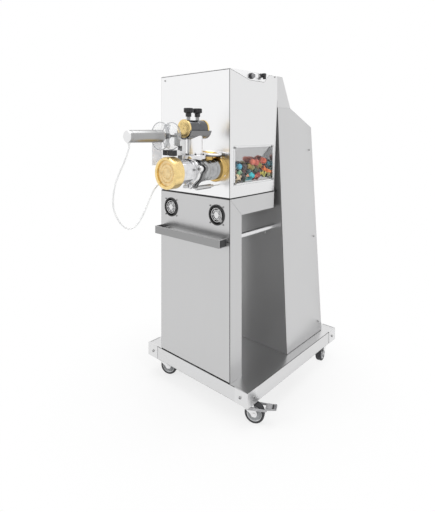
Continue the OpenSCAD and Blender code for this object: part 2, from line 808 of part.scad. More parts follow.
// ---- extruder ----
module auger() {
  l = e4 - e1 - 4;
  core = shaft_d + 8;
  tip = bore_d / 2 - 0.8;
  color(polished) placed() out_front(axis_x, axis_z) {
    translate([0, 0, e1 - 6 + seat]) cylinder(d = core, h = l + 10, $fn = 36);
    translate([0, 0, e1 + 2]) linear_extrude(l - 6, twist = 360 * (l - 6) / auger_pitch, slices = 56)
      polygon([[core / 2 - 3, -4], [tip, -2], [tip, 2], [core / 2 - 3, 4]]);
  }
}

bearing_d = 48;
module rear_ring() {
  r = rear_ring_d / 2;
  color(brass) placed() out_front(axis_x, axis_z) difference() {
    rotate_extrude() polygon([[bore_d / 2 + 1, seat], [r - 4, seat], [r, 3], [r, e1 - 5],
      [r - 4, e1 - seat],
      [bore_d / 2 + 1, e1 - seat], [bore_d / 2 + 1, 25], [bearing_d / 2 + 0.1, 25],
        [bearing_d / 2 + 0.1, 5],
      [shaft_d / 2 + 3, 5], [shaft_d / 2 + 3, seat]]);
    rotate([0, 0, -28]) translate([r - 8, 0, e1 / 2]) rotate([0, 90, 0]) cylinder(d = 6, h = 20, $fn = 24);
  }
}

collar_e = 46;
collar_d = 86;
mouth_d = 37;
mouth_e = 66;
module rear_barrel() {
  up = rear_ring_d / 2 + 1;
  color(polished) placed() out_front(axis_x, axis_z) difference() {
    union() {
      translate([0, 0, e1]) cylinder(d = barrel_d, h = rear_barrel_l - seat);
      translate([0, 0, e2 - 22]) cylinder(d = barrel_d + 3, h = 8);
      translate([0, up + 6, mouth_e]) rotate([90, 0, 0]) cylinder(d = mouth_d + 6, h = up);
      translate([0, up + 6, collar_e]) rotate([90, 0, 0]) cylinder(d = collar_d, h = 6);
    }
    translate([0, 0, e1 - 1]) cylinder(d = bore_d, h = rear_barrel_l + 2);
    translate([0, up + 7, mouth_e]) rotate([90, 0, 0]) cylinder(d = mouth_d, h = up + 7);
  }
}

module clamp_flange() {
  lobe = barrel_d / 2 + 12;
  color(steel) placed() out_front(axis_x, axis_z) difference() {
    union() {
      for (z = [e2, e3 - 14]) translate([0, 0, z]) linear_extrude(14 - seat) {
        circle(d = barrel_d + 16);
        for (a = [12, 168, 270]) rotate(a) translate([lobe, 0]) circle(d = 26);
      }
      translate([0, 0, e2 + 10]) cylinder(d = barrel_d + 4, h = 20);
      for (a = [12, 168, 270]) rotate([0, 0, a]) translate([lobe, 0, e2 + 10]) cylinder(d = 10, h = 20);
    }
    translate([0, 0, e2 - 1]) cylinder(d = bore_d, h = flange_l + 2);
    rotate([0, 0, 270]) translate([lobe, 0, e3 - 6]) cylinder(d = 8, h = 9);
  }
}

module front_barrel() {
  color(polished) placed() out_front(axis_x, axis_z)
    ring(front_barrel_d, bore_d, e3, die_back - seat);
}

module ring_nut() {
  r = nut_d / 2;
  bore = front_barrel_d / 2 + run_fit;
  color(brass) placed() out_front(axis_x, axis_z) rotate_extrude($fn = 96) polygon([
    [bore, e4 + seat], [r - 4, e4 + seat], [r, e4 + 4], [r, e5 - 6], [r - 5, e5], [die_d / 2 - 2, e5],
    [die_d / 2 - 2, die_back + die_t + seat], [nut_cavity_d / 2, die_back + die_t + seat],
    [nut_cavity_d / 2, die_back - seat], [bore, die_back - seat]]);
}

module die() {
  color(brass) placed() out_front(axis_x, axis_z) difference() {
    translate([0, 0, die_back]) cylinder(d = die_d, h = die_t);
    for (i = [0:die_n - 1]) rotate([0, 0, i * 360 / die_n]) translate([bore_d * 0.38, 0, die_back - 1])
      cylinder(d = die_hole_d, h = die_t + 2, $fn = 24);
  }
}

saddle_d = barrel_d + 16 + 2 * seat;
module saddle_cut() {
  out_front(axis_x, axis_z) {
    translate([0, 0, e2 - seat]) cylinder(d = saddle_d, h = flange_l + 2 * seat);
    cylinder(d = barrel_d + 3 + 2 * seat, h = e3 + 60);
  }
}

module neck_flange() {
  color(polished) placed() difference() {
    union() {
      translate([axis_x, -neck_e, axis_z + 40]) cylinder(d = neck_d + 26, h = 22);
      for (a = [20:60:320]) translate([axis_x, -neck_e, axis_z + 61]) rotate([0, 0, a])
        translate([37, 0, 0])
        cylinder(d = 7, h = 4, $fn = 6);
    }
    saddle_cut();
    translate([axis_x, -neck_e, axis_z]) cylinder(d = neck_d + 2 * seat, h = 80);
    block([axis_x - 80, -collar_e - collar_d / 2 - 1, axis_z], [axis_x + 80, 0, axis_z + 90]);
  }
}

module upper_cradle() {
  w = unit_cap_d + 2 * seat;
  color(steel) placed() difference() {
    union() {
      out_front(axis_x, unit_z) translate([0, 0, unit_e - 14]) cylinder(d = w + 2 * cradle_t,
        h = unit_l + 20);
      translate([axis_x, -neck_e, axis_z + 40]) cylinder(d = neck_d, h = unit_up - 60);
    }
    block([axis_x - 90, -unit_front - 40, unit_z - 8], [axis_x + 90, 0, unit_z + 90]);
    out_front(axis_x, unit_z) {
      translate([0, 0, unit_e - unit_cap_t - seat]) cylinder(d = w, h = unit_cap_t + 2 * seat);
      translate([0, 0, unit_e - 1]) cylinder(d = unit_d + 2 * seat, h = unit_l + 2);
      translate([0, 0, unit_front - seat]) cylinder(d = w, h = 20);
    }
    saddle_cut();
  }
}

module upper_cylinder() {
  color("#5d6266") placed() difference() {
    out_front(axis_x, unit_z) translate([0, 0, unit_e + seat]) cylinder(d = unit_d, h = unit_l - 2 * seat);
    for (e = knob_e) translate([axis_x, -e, unit_z]) cylinder(d = 8 + 2 * run_fit, h = 60, $fn = 32);
  }
}

module upper_end_caps() {
  color(brass) placed() out_front(axis_x, unit_z) {
    difference() {
      rotate_extrude() polygon([[3, unit_front], [unit_cap_d / 2 - 1, unit_front],
        [unit_cap_d / 2, unit_front + 1],
        [unit_cap_d / 2, unit_front + unit_cap_t - 1], [unit_cap_d / 2 - 1, unit_front + unit_cap_t],
        [3, unit_front + unit_cap_t]]);
    }
    ring(unit_cap_d - 1, unit_d - 22, unit_e - unit_cap_t, unit_e);
  }
}

knob_e = [unit_e + 24, unit_e + 72];
module hold_knob(e) {
  top = unit_d / 2 + 45;
  color(black) placed() translate([axis_x, -e, unit_z]) {
    translate([0, 0, 14]) cylinder(d = 8, h = top - 16, $fn = 32);
    difference() {
      union() {
        translate([0, 0, top - 17]) cylinder(d = knob_d, h = 17);
        translate([0, 0, top - 30]) cylinder(d = knob_d * 0.6, h = 14);
      }
      for (a = [0:60:300]) rotate([0, 0, a]) translate([knob_d / 2 + 2, 0, top - 18]) cylinder(d = 9,
        h = 20, $fn = 24);
    }
    for (a = [90, 270]) rotate([0, 0, a]) translate([knob_d * 0.22, 0, unit_d / 2 + 1]) cylinder(d = 3,
      h = 16, $fn = 16);
  }
}

module barrel_fittings() {
  color(grey) placed() {
    // drain plug under the front barrel
    translate([axis_x, -e3 - 14, axis_z - barrel_d / 2 - 18]) difference() {
      union() {
        cylinder(d = 22, h = 10, $fn = 6);
        cylinder(d = 12, h = 22);
      }
      out_front(0, barrel_d / 2 + 18) cylinder(d = front_barrel_d + 2 * seat, h = 60, center = true);
    }
    // gland of the cutter motor's lead
    translate([99, -218, 983.4]) rotate([0, 90 - atan2(gland_dir.z, gland_dir.x), 0])
      cylinder(d = lead_d + 5, h = norm([axis_x - 99, axis_z - 983.4]) - front_barrel_d / 2 - seat);
    // temperature probe behind the lower lobe
    out_front(axis_x, axis_z - barrel_d / 2 - 24) {
      translate([0, 0, 52]) cylinder(d = 18, h = e2 - 52 - seat);
      translate([0, 0, 36]) cylinder(d = 11, h = 17);
      translate([0, 0, seat]) cylinder(d = 4, h = 37);
    }
  }
}

// ---- cutter ----
pillar_x = cutter_x - 4;
pillar_w = 24;
pillar_e = e3 + 4;
web_e = unit_front + unit_cap_t + 10;
module cutter_bracket() {
  web_z = unit_z - unit_cap_d / 2 - cradle_t - 2 * seat;
  arm_z = axis_z + nut_d / 2 + 2;
  right = pillar_x + pillar_w;
  color(grey) placed() difference() {
    union() {
      block([pillar_x, -pillar_e - 20, axis_z + 30], [right, -pillar_e, web_z]);
      block([cutter_x - 10, -web_e, web_z - 24], [right, -pillar_e, web_z]);
      block([cutter_x - 10, -web_e, web_z - 1], [cutter_x + 10, 9 - web_e, cutter_z + 11]);
      block([cutter_x - 58, -web_e - 14, arm_z], [right, -pillar_e - 14, arm_z + 17]);
      block([cutter_x - 12, -drum_e - 12, arm_z], [right, -web_e, cutter_z - drum_d / 2 - seat]);
    }
    out_front(axis_x, axis_z) cylinder(d = front_barrel_d + 2 * seat, h = 400);
    out_front(cutter_x, cutter_z) cylinder(d = cutter_shaft_d + 2 * run_fit, h = 400);
    out_front(axis_x, axis_z) translate([0, 0, e4]) cylinder(d = nut_d + 4, h = 100);
    out_front(axis_x, unit_z) cylinder(d = unit_cap_d + 1, h = unit_front + unit_cap_t + seat);
    translate([axis_x, -neck_e, axis_z]) cylinder(d = neck_d + 26 + 2 * seat, h = 66);
  }
}

motor_nose = 40;
module cutter_motor() {
  r = motor_d / 2;
  color(grey) placed() out_front(cutter_x, cutter_z) difference() {
    translate([0, 0, motor_e]) rotate_extrude() polygon([[0, 0], [r - 8, 0], [r - 4, 6], [r - 1, 8],
      [r, 12], [r, motor_nose],
      [r - 1, motor_nose + 2], [r - 2, motor_l - 14], [r - 3, motor_l - 2], [r - 5, motor_l],
        [0, motor_l]]);
    translate([0, 0, motor_e - 1]) cylinder(d = cutter_shaft_d + 2 * run_fit, h = 21);
  }
  color(grey) placed() translate([cutter_x, -424, 1114]) cylinder(d = lead_d + 5, h = 12);
}

module cutter_rotor() {
  color(black) placed() out_front(cutter_x, cutter_z) {
    translate([0, 0, e3 + 24]) cylinder(d = cutter_shaft_d, h = motor_e + 18 - e3 - 24);
    translate([0, 0, drum_e + 14]) cylinder(d = 22, h = 16);
    for (a = [0, 180]) rotate([0, 0, a]) translate([0, 0, drum_e + 20]) linear_extrude(4)
      polygon([[-7, 0], [-13, drum_d / 2 - 8], [13, drum_d / 2 - 8], [7, 0]]);
  }
}

module cutter_guard() {
  color([0.9, 0.95, 1, 0.35]) placed() {
    out_front(cutter_x, cutter_z) difference() {
      translate([0, 0, drum_e]) cylinder(d = drum_d, h = drum_l);
      translate([0, 0, drum_e + 2]) cylinder(d = drum_d - 5, h = drum_l - 4);
      translate([0, 0, drum_e - 1]) cylinder(d = cutter_shaft_d + 4, h = drum_l);
      translate([0, 0, drum_front - 6]) cylinder(d = motor_d + 2 * seat, h = 12);
      translate([0, 0, drum_front - 24]) cylinder(d = motor_d + 2 * seat, h = 20);
    }
    // chute below the drum
    block([cutter_x - drum_d / 2 - 16, -drum_front, cutter_z - 78],
      [cutter_x - drum_d / 2 - 13, -drum_e - 12, cutter_z - 6]);
    block([cutter_x - drum_d / 2 - 13 - tiny, -drum_front, cutter_z - 10],
      [cutter_x - drum_d / 2 + 1, -drum_e - 12, cutter_z - 6]);
  }
}

// Round points along the lead's route, from the motor's rear to the gland on the barrel
lead_route = [[120, -424, 1114], [120, -424, 1104], [116, -428, 1084], [104, -433, 1052], [84, -438, 1015],
  [66, -440, 980], [53, -440, 940], [44, -436, 905], [41, -427, 874], [43, -413, 844], [49, -397, 822],
  [56, -380, 810], [62, -362, 812], [68, -345, 828], [73, -330, 852], [77, -315, 882], [78, -302, 908],
  [79, -288, 934], [80, -272, 952], [81, -254, 964], [84, -236, 973], [92, -222, 980], [99, -218, 983.4]];
lead_end = 2 * (len(lead_route) - 1);
function lead_k(i) = lead_route[max(0, min(i, len(lead_route) - 1))];
function lead_at(j) = j % 2 == 0 ? lead_k(j / 2)
  : let (i = floor(j / 2)) (9 * (lead_k(i) + lead_k(i + 1)) - lead_k(i - 1) - lead_k(i + 2)) / 16;
function lead_dir(j) = j == 0 ? unit(lead_k(1) - lead_k(0))
  : j == lead_end ? gland_dir : unit(lead_at(j + 1) - lead_at(j - 1));
function lead_ring(j) = let (d = lead_dir(j), u = unit(cross(d, [0.2, 1, 0.1])), v = cross(d, u))
  [for (a = [0:45:315]) lead_at(j) + lead_d / 2 * (cos(a) * u + sin(a) * v)];
gland_dir = unit([axis_x - 99, 0, axis_z - 983.4]);
module cutter_lead() {
  color("white") placed() polyhedron(
    points = [for (j = [0:lead_end]) each lead_ring(j)],
    faces = concat([[for (k = [0:7]) k]], [[for (k = [7:-1:0]) lead_end * 8 + k]],
      [for (j = [0:lead_end - 1], k = [0:7])
        [j * 8 + k, (j + 1) * 8 + k, (j + 1) * 8 + (k + 1) % 8, j * 8 + (k + 1) % 8]]));
}

// ---- fans ----
fan_depth = 25;
module fan_frames() {
  y0 = -sheet - seat;
  color(black) placed() fan_places() {
    difference() {
      translate([-fan_s / 2, -fan_s / 2, y0 - fan_depth]) cube([fan_s, fan_s, fan_depth]);
      translate([0, 0, y0 - fan_depth + 3]) cylinder(d = fan_s - 4, h = fan_depth);
      for (a = [0:90:270]) rotate([0, 0, a + 45]) translate([0, 0, y0 - fan_depth - 1])
        rotate_extrude(angle = 76) translate([16, 0]) square([fan_s / 2 - 20, 6]);
      fan_holes(4 + 2 * seat);
    }
    translate([0, 0, y0 - fan_depth + 1]) cylinder(d = 6, h = fan_depth - 6, $fn = 32);
    // guard in front of the panel
    ring(fan_s + 6, fan_s - 4, seat, 3);
    for (d = [24, 40, 56]) ring(d + 2, d - 2, seat, 2.3);
    for (a = [0:60:120]) rotate([0, 0, a]) translate([-fan_s / 2 + 1, -1, seat]) cube([fan_s - 2, 2, 1.5]);
    translate([0, 0, seat]) cylinder(d = 24, h = 2);
  }
}

module fan_rotor(s) {
  color(grey) placed() out_front(s * fan_gap / 2, fan_z) translate([0, 0, -fan_depth + 2]) difference() {
    union() {
      cylinder(d = 32, h = 17);
      for (a = [0:360 / 7:359]) rotate([0, 0, a]) translate([8, 0, 8.5]) rotate([35, 0, 0])
        translate([0, -8.5, -1]) cube([fan_s / 2 - 13, 17, 2]);
    }
    translate([0, 0, -1]) cylinder(d = 6 + 2 * run_fit, h = 30, $fn = 32);
  }
}

// ---- screws and bolts that share one pattern ----
module screw_head(d, h) {
  difference() {
    translate([0, 0, seat]) cylinder(d1 = d, d2 = d * 0.7, h = h);
    translate([0, 0, h * 0.5]) cylinder(d = d * 0.35, h = h, $fn = 6);
  }
}

module panel_screws() {
  color(polished) placed() {
    bolt_places() translate([0, 0, cap_out]) {
      screw_head(12, bolt_h);
      translate([0, 0, -cap_out - sheet - 4]) cylinder(d = 6, h = cap_out + sheet + 5, $fn = 24);
    }
    fan_places() for (x = [-1, 1], y = [-1, 1]) translate([x * fan_pitch / 2, y * fan_pitch / 2, 0]) {
      screw_head(8, 3);
      translate([0, 0, -10]) cylinder(d = 4, h = 11, $fn = 24);
    }
    out_front(18 + 2 - half_w + 8, top_z - 20) screw_head(8, 2.5);
    for (y = [window_y - 2, window_y + window_l - 4], z = [window_z - 1, window_z + window_h + 1])
      translate([half_w + seat + pane_t, y, z]) rotate([0, 90, 0]) screw_head(9, 3);
    for (s = [-1, 1], z = [197, 628, 1066])
      translate([s * tower_half(z), tower_foot_y + tower_foot_d - 30 - (z - deck_z) * 0.025, z])
        rotate([0, s * (90 - tower_lean), 0]) screw_head(9, 3);
    for (s = [-1, 1]) translate([s * (half_w - handrail_d / 2 - 4), 262, handrail_z - handrail_d / 2])
      rotate([180, 0, 0]) screw_head(10, 8);
  }
}

base_tray();
base_frame();
corner_caps();
front_panel();
control_panel();
side_frames();
handle_bar();
handrails();
mid_deck();
upper_housing();
panel_screws();
lid();
lid_hinge();
latch(latch_ya, latch_za, latch_a_d, 14);  // latch_knob_front
latch(latch_yb, latch_zb, latch_b_d, 20);  // latch_knob_rear
rear_hood();
tower_shell();
tower_front_wall();
display_tray();
display_pane();
display_pieces();
mixing_tank();
mixer_shaft();
shaft_bearings();
drive_chain();
gearmotor();
drive_shaft();
auger();
rear_ring();
rear_barrel();
clamp_flange();
front_barrel();
ring_nut();
die();
neck_flange();
barrel_fittings();
upper_cylinder();
upper_end_caps();
upper_cradle();
hold_knob(knob_e[1]);  // hold_knob_front
hold_knob(knob_e[0]);  // hold_knob_rear
cutter_bracket();
cutter_motor();
cutter_rotor();
cutter_guard();
cutter_lead();
fan_frames();
fan_rotor(-1);  // fan_rotor_left
fan_rotor(1);  // fan_rotor_right
control_box();
fork(caster_x, caster_y[0], yaw_front, true);  // fork_front_right
fork(-caster_x, caster_y[0], yaw_front, false);  // fork_front_left
fork(caster_x, caster_y[1], yaw_rear, false);  // fork_rear_right
fork(-caster_x, caster_y[1], yaw_rear, false);  // fork_rear_left
caster_wheel(caster_x, caster_y[0], yaw_front);  // wheel_front_right
caster_wheel(-caster_x, caster_y[0], yaw_front);  // wheel_front_left
caster_wheel(caster_x, caster_y[1], yaw_rear);  // wheel_rear_right
caster_wheel(-caster_x, caster_y[1], yaw_rear);  // wheel_rear_left
brake_pedal();
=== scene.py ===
import json
import math

import bmesh
import bpy
from mathutils import Matrix, Vector


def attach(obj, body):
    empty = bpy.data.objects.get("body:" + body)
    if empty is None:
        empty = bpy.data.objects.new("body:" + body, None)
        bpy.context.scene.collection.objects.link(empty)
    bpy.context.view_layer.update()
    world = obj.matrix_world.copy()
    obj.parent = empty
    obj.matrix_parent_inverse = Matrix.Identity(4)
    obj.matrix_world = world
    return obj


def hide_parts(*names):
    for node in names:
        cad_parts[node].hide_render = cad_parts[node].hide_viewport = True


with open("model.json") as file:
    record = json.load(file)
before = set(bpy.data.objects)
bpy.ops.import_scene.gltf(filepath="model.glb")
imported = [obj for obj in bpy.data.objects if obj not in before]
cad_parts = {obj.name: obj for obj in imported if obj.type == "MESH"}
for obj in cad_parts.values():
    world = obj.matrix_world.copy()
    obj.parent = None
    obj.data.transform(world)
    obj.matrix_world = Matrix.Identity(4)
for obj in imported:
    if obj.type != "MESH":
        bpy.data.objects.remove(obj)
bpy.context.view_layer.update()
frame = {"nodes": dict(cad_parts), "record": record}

# Metres. The machine's front face is y = FRONT and the middle of its tray is x = MIDDLE. The other three are the x
# and the height of the lines along Y through the extruder, the cutter and the upper unit.
MIDDLE = -0.034217
FRONT = -0.15305
AXIS = (MIDDLE + 0.15, 1.008)
CUTTER = (MIDDLE + 0.12, 1.142)
UNIT = (MIDDLE + 0.15, 1.17)


def at(x, y, z):
    """A point from millimetres off the front face's middle, on the floor."""
    return Vector((MIDDLE + x / 1000, FRONT + y / 1000, z / 1000))


# ---- node material helpers ----


class Nodes:
    """A node tree, with the few chains that the materials and the world share."""

    def __init__(self, tree):
        self.tree = tree

    def node(self, kind, **inputs):
        made = self.tree.nodes.new(kind)
        for key, value in inputs.items():
            made.inputs[key.replace("_", " ")].default_value = value
        return made

    def link(self, out, into):
        self.tree.links.new(out, into)
        return into

    def place(self, scale=(1, 1, 1), move=(0, 0, 0)):
        """Object coordinates, scaled, then moved."""
        mapping = self.node("ShaderNodeMapping", Scale=scale, Location=move)
        self.link(self.node("ShaderNodeTexCoord").outputs["Object"], mapping.inputs["Vector"])
        return mapping.outputs["Vector"]

    def noise(self, where, scale=1.0, detail=4.0, rough=0.55):
        n = self.node("ShaderNodeTexNoise", Scale=scale, Detail=detail, Roughness=rough)
        self.link(where, n.inputs["Vector"])
        return n.outputs["Fac"]

    def remap(self, value, low, high, from_low=0.3, from_high=0.7):
        r = self.node("ShaderNodeMapRange", From_Min=from_low, From_Max=from_high, To_Min=low, To_Max=high)
        self.link(value, r.inputs["Value"])
        return r.outputs["Result"]

    def ramp(self, value, *stops):
        r = self.node("ShaderNodeValToRGB")
        while len(r.color_ramp.elements) < len(stops):
            r.color_ramp.elements.new(0.5)
        for e, (place, colour) in zip(r.color_ramp.elements, stops):
            e.position = place
            e.color = (*colour[:3], 1)
        self.link(value, r.inputs["Fac"])
        return r.outputs["Color"]

    def maths(self, operation, *values):
        """A Math node on one or two outputs."""
        made = self.node("ShaderNodeMath")
        made.operation = operation
        for value, socket in zip(values, made.inputs):
            self.link(value, socket)
        return made.outputs[0]

    def mix(self, share, first, second):
        """A mix of two shaders."""
        made = self.node("ShaderNodeMixShader")
        for value, socket in zip((share, first, second), made.inputs):
            self.link(value, socket)
        return made.outputs[0]

    def background_rays(self):
        """1 for camera, glossy and transmission rays, so that metal and glass show the background too."""
        path = self.node("ShaderNodeLightPath")
        out = path.outputs["Is Camera Ray"]
        for ray in ("Is Glossy Ray", "Is Transmission Ray"):
            out = self.maths("MAXIMUM", out, path.outputs[ray])
        return out


class Shader(Nodes):
    """A material on the Principled shader."""

    def __init__(self, name, colour, metallic=0.0, roughness=0.5):
        self.material = bpy.data.materials.new(name)
        self.material.use_nodes = True
        super().__init__(self.material.node_tree)
        self.body = self.tree.nodes["Principled BSDF"]
        self.put("Base Color", (*colour[:3], 1))
        self.put("Metallic", metallic)
        self.put("Roughness", roughness)
        self.bumps = None

    def put(self, socket, value):
        self.body.inputs[socket].default_value = value

    def bump(self, height, strength=0.2, distance=0.001):
        b = self.node("ShaderNodeBump", Strength=strength, Distance=distance)
        self.link(height, b.inputs["Height"])
        if self.bumps:
            self.link(self.bumps, b.inputs["Normal"])
        self.bumps = b.outputs["Normal"]
        self.link(self.bumps, self.body.inputs["Normal"])

    def colour(self, out):
        self.link(out, self.body.inputs["Base Color"])

    def roughness(self, out):
        self.link(out, self.body.inputs["Roughness"])


def brushed(name, grey, roughness=0.3, grain=(2, 2, 500), tint=0.008, metallic=1.0, swing=0.012):
    """Stainless steel sheet with a fine brushed grain; the grain runs along the small scales."""
    s = Shader(name, (grey, grey, grey * 1.01), metallic, roughness)
    fine = s.noise(s.place(grain), 3.0, 3.0, 0.6)
    broad = s.noise(s.place(), 3.0, 2.0, 0.5)
    low, high = grey - tint, grey + tint
    s.colour(s.ramp(fine, (0.3, (low, low, low)), (0.7, (high, high, high * 1.01))))
    s.roughness(s.maths("ADD", s.remap(fine, -swing, swing), s.remap(broad, roughness - 0.02, roughness + 0.03)))
    s.bump(fine, 0.03, 0.0003)
    return s.material


def polished(name, grey, roughness=0.08, wave=0.02):
    """Mirror-polished steel: faint broad waviness and a trace of polishing haze."""
    s = Shader(name, (grey, grey, grey * 1.008), 1.0, roughness)
    broad = s.noise(s.place(), 5.0, 2.0, 0.4)
    haze = s.noise(s.place(), 40.0, 3.0, 0.6)
    s.roughness(s.remap(haze, roughness * 0.8, roughness * 1.3))
    s.bump(broad, wave, 0.01)
    return s.material


def turned(name, colour, centre, roughness=0.2, grooves=900):
    """Metal turned on a lathe about a line along Y through centre: fine rings on faces and round the sides."""
    s = Shader(name, colour, 1.0, roughness)
    where = s.place(move=(-centre[0], 0, -centre[1]))
    apart = s.node("ShaderNodeSeparateXYZ")
    s.link(where, apart.inputs[0])
    squares = [s.maths("MULTIPLY", apart.outputs[axis], apart.outputs[axis]) for axis in "XZ"]
    root = s.maths("SQRT", s.maths("ADD", *squares))
    ring = s.node("ShaderNodeCombineXYZ")
    s.link(root, ring.inputs["X"])
    s.link(apart.outputs["Y"], ring.inputs["Y"])
    rings = s.noise(ring.outputs[0], grooves, 2.0, 0.5)
    cloud = s.noise(s.place(), 60.0, 4.0, 0.6)
    dark = tuple(c * 0.86 for c in colour)
    light = tuple(min(1, c * 1.06) for c in colour)
    s.colour(s.ramp(cloud, (0.3, dark), (0.62, light)))
    s.roughness(s.remap(cloud, roughness * 1.35, roughness * 0.8))
    s.bump(rings, 0.12, 0.0003)
    return s.material


def moulded(name, colour, roughness=0.45, grain=900, strength=0.12):
    """Moulded plastic or rubber with a fine grain and slight mottling."""
    s = Shader(name, colour, 0.0, roughness)
    fine = s.noise(s.place(), grain, 2.0, 0.5)
    broad = s.noise(s.place(), 25.0, 3.0, 0.6)
    s.colour(s.ramp(broad, (0.35, tuple(c * 0.85 for c in colour)),
                    (0.7, tuple(min(1, c * 1.15 + 0.003) for c in colour))))
    s.roughness(s.remap(broad, roughness - 0.06, roughness + 0.08))
    s.bump(fine, strength, 0.0003)
    return s.material


def clear(name, tint, roughness=0.03, alpha=0.3):
    s = Shader(name, tint, 0.0, roughness)
    s.put("Alpha", alpha)
    s.put("IOR", 1.49)
    s.put("Coat Weight", 0.6)
    scuffs = s.noise(s.place(), 120.0, 4.0, 0.6)
    s.roughness(s.remap(scuffs, roughness, roughness + 0.08))
    return s.material


def lead_plastic(name):
    s = Shader(name, (0.84, 0.845, 0.85), 0.0, 0.65)
    soft = s.noise(s.place(), 30.0, 3.0, 0.5)
    s.colour(s.ramp(soft, (0.3, (0.8, 0.805, 0.81)), (0.7, (0.87, 0.87, 0.87))))
    return s.material


def pasta(name):
    """Dried dough: the piece's own tint from its colour attribute, a floury bloom and a fine bumpy skin."""
    s = Shader(name, (0.85, 0.3, 0.06), 0.0, 0.5)
    tint = s.node("ShaderNodeAttribute")
    tint.attribute_name = "tint"
    bloom = s.noise(s.place(), 220.0, 4.0, 0.6)
    mix = s.node("ShaderNodeMix")
    mix.data_type = "RGBA"
    mix.blend_type = "MULTIPLY"
    mix.inputs["Factor"].default_value = 1.0
    s.link(tint.outputs["Color"], mix.inputs["A"])
    s.link(s.ramp(bloom, (0.3, (0.72, 0.72, 0.72)), (0.65, (1, 1, 1))), mix.inputs["B"])
    s.colour(mix.outputs["Result"])
    s.roughness(s.remap(bloom, 0.42, 0.6))
    s.bump(s.noise(s.place(), 900.0, 3.0), 0.2, 0.0004)
    return s.material


FINISHES = {
    "tray_steel": (brushed, 0.72, 0.3, (2, 500, 2)),
    "frame_steel": (brushed, 0.45, 0.42, (60, 60, 60)),
    "cap_steel": (brushed, 0.76, 0.26, (400, 400, 3)),
    "panel_steel": (brushed, 0.6, 0.34, (420, 420, 2)),
    "bar_steel": (brushed, 0.33),
    # painted shade: near black, so that the mid deck reads as the shadow that lies on it
    "deck_grey": (brushed, 0.075, 0.4, (2, 300, 2)),
    "mirror_steel": (brushed, 0.93, 0.3, (300, 300, 3), 0.004),
    # painted shade: a darker copy of mirror_steel for the housing's sides, where less light falls
    "painted_shade_side_steel": (brushed, 0.8, 0.25, (300, 300, 3), 0.004),
    "hood_steel": (brushed, 0.66, 0.3, (300, 300, 3)),
    "screw_steel": (brushed, 0.34, 0.3, (300, 300, 300)),
    "latch_grey": (moulded, (0.22, 0.22, 0.23), 0.35),
    "knob_black": (moulded, (0.014, 0.014, 0.016), 0.34),
    "tower_steel": (brushed, 0.62, 0.32, (420, 420, 2)),
    # painted shade: a darker, less metallic copy of tower_steel, so that the tower's wall reads as lying in shade
    "tower_wall": (brushed, 0.45, 0.34, (420, 420, 2), 0.008, 0.8),
    # painted shade: a dark line of shade laid on the rounded edges and outer folds of sheet parts, brackets and forks
    "edge_dark": (brushed, 0.1, 0.4, (90, 90, 90)),
    # a bright steel for the collar, pins and catch keep, and a painted highlight along the handle bar's rounded edges
    "edge_light": (brushed, 0.92, 0.3, (90, 90, 90)),
    "gasket": (moulded, (0.012, 0.012, 0.013), 0.6),
    "clear_pane": (clear, (0.93, 0.96, 0.98), 0.02, 0.03),
    "pieces": (pasta,),
    "barrel_steel": (turned, (0.74, 0.74, 0.75), AXIS, 0.13),
    "dark_barrel": (turned, (0.42, 0.425, 0.43), AXIS, 0.16),
    "polished_steel": (polished, 0.8, 0.12, 0.05),
    "window_steel": (polished, 0.46, 0.1, 0.03),
    "motor_grey": (moulded, (0.33, 0.35, 0.37), 0.4, 300),
    "brass": (turned, (0.9, 0.68, 0.31), AXIS, 0.22),
    "ring_brass": (turned, (0.62, 0.42, 0.15), AXIS, 0.2),
    "die_brass": (turned, (0.88, 0.68, 0.37), AXIS, 0.36),
    "fitting_steel": (brushed, 0.55, 0.22, (200, 200, 200)),
    "dark_steel": (turned, (0.13, 0.133, 0.14), UNIT, 0.12),
    "cradle_steel": (polished, 0.22, 0.16, 0.05),
    "bracket_grey": (moulded, (0.3, 0.305, 0.31), 0.4, 500),
    "motor_alu": (brushed, 0.4, 0.28, (3, 500, 3)),
    "motor_face": (brushed, 0.86, 0.4, (300, 300, 300)),
    "knife_steel": (brushed, 0.8, 0.18, (300, 3, 300)),
    "clear_guard": (clear, (0.95, 0.97, 0.98), 0.04, 0.07),
    # painted shade: a grey, half-clear copy of the guard plastic, laid over the clear drum's end rims and the pane's
    # rounded edges
    "guard_edge": (clear, (0.42, 0.43, 0.45), 0.08, 0.5),
    "chute_clear": (clear, (0.8, 0.8, 0.84), 0.1, 0.45),
    "lead_clear": (lead_plastic,),
    "fan_black": (moulded, (0.02, 0.02, 0.021), 0.42),
    "fan_hub": (moulded, (0.8, 0.81, 0.82), 0.3),
    "fan_blade": (moulded, (0.1, 0.1, 0.105), 0.4),
    "fork_steel": (brushed, 0.82, 0.26, (200, 200, 200)),
    "tyre": (moulded, (0.035, 0.035, 0.038), 0.6),
    "pedal_grey": (moulded, (0.42, 0.42, 0.43), 0.42),
    "unit_brass": (turned, (0.9, 0.68, 0.31), UNIT, 0.24),
    "wheel_rim": (moulded, (0.62, 0.63, 0.64), 0.35),
    "wheel_disc": (moulded, (0.33, 0.34, 0.35), 0.4),
    "clear_knife": (clear, (0.55, 0.56, 0.58), 0.1, 0.55),
}
FINISH = {name: make(name, *values) for name, (make, *values) in FINISHES.items()}
SLOT_OF = {row["node"]: row["material_slot"] for row in frame["record"]["subparts"]}
for node, slot in SLOT_OF.items():
    mesh = frame["nodes"][node].data
    mesh.materials.clear()
    mesh.materials.append(FINISH[slot])

BODY_OF = {n: b for b, ns in frame["record"]["behaviour"]["bodies"].items() for n in ns}


def settle(obj, body, slot, *nodes):
    """Rides a finished piece on its body, gives it the slot's finish if it has none, and hides the nodes it replaces.
    """
    if not obj.data.materials:
        obj.data.materials.append(FINISH[slot])
    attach(obj, body)
    if nodes:
        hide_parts(*nodes)
    return obj


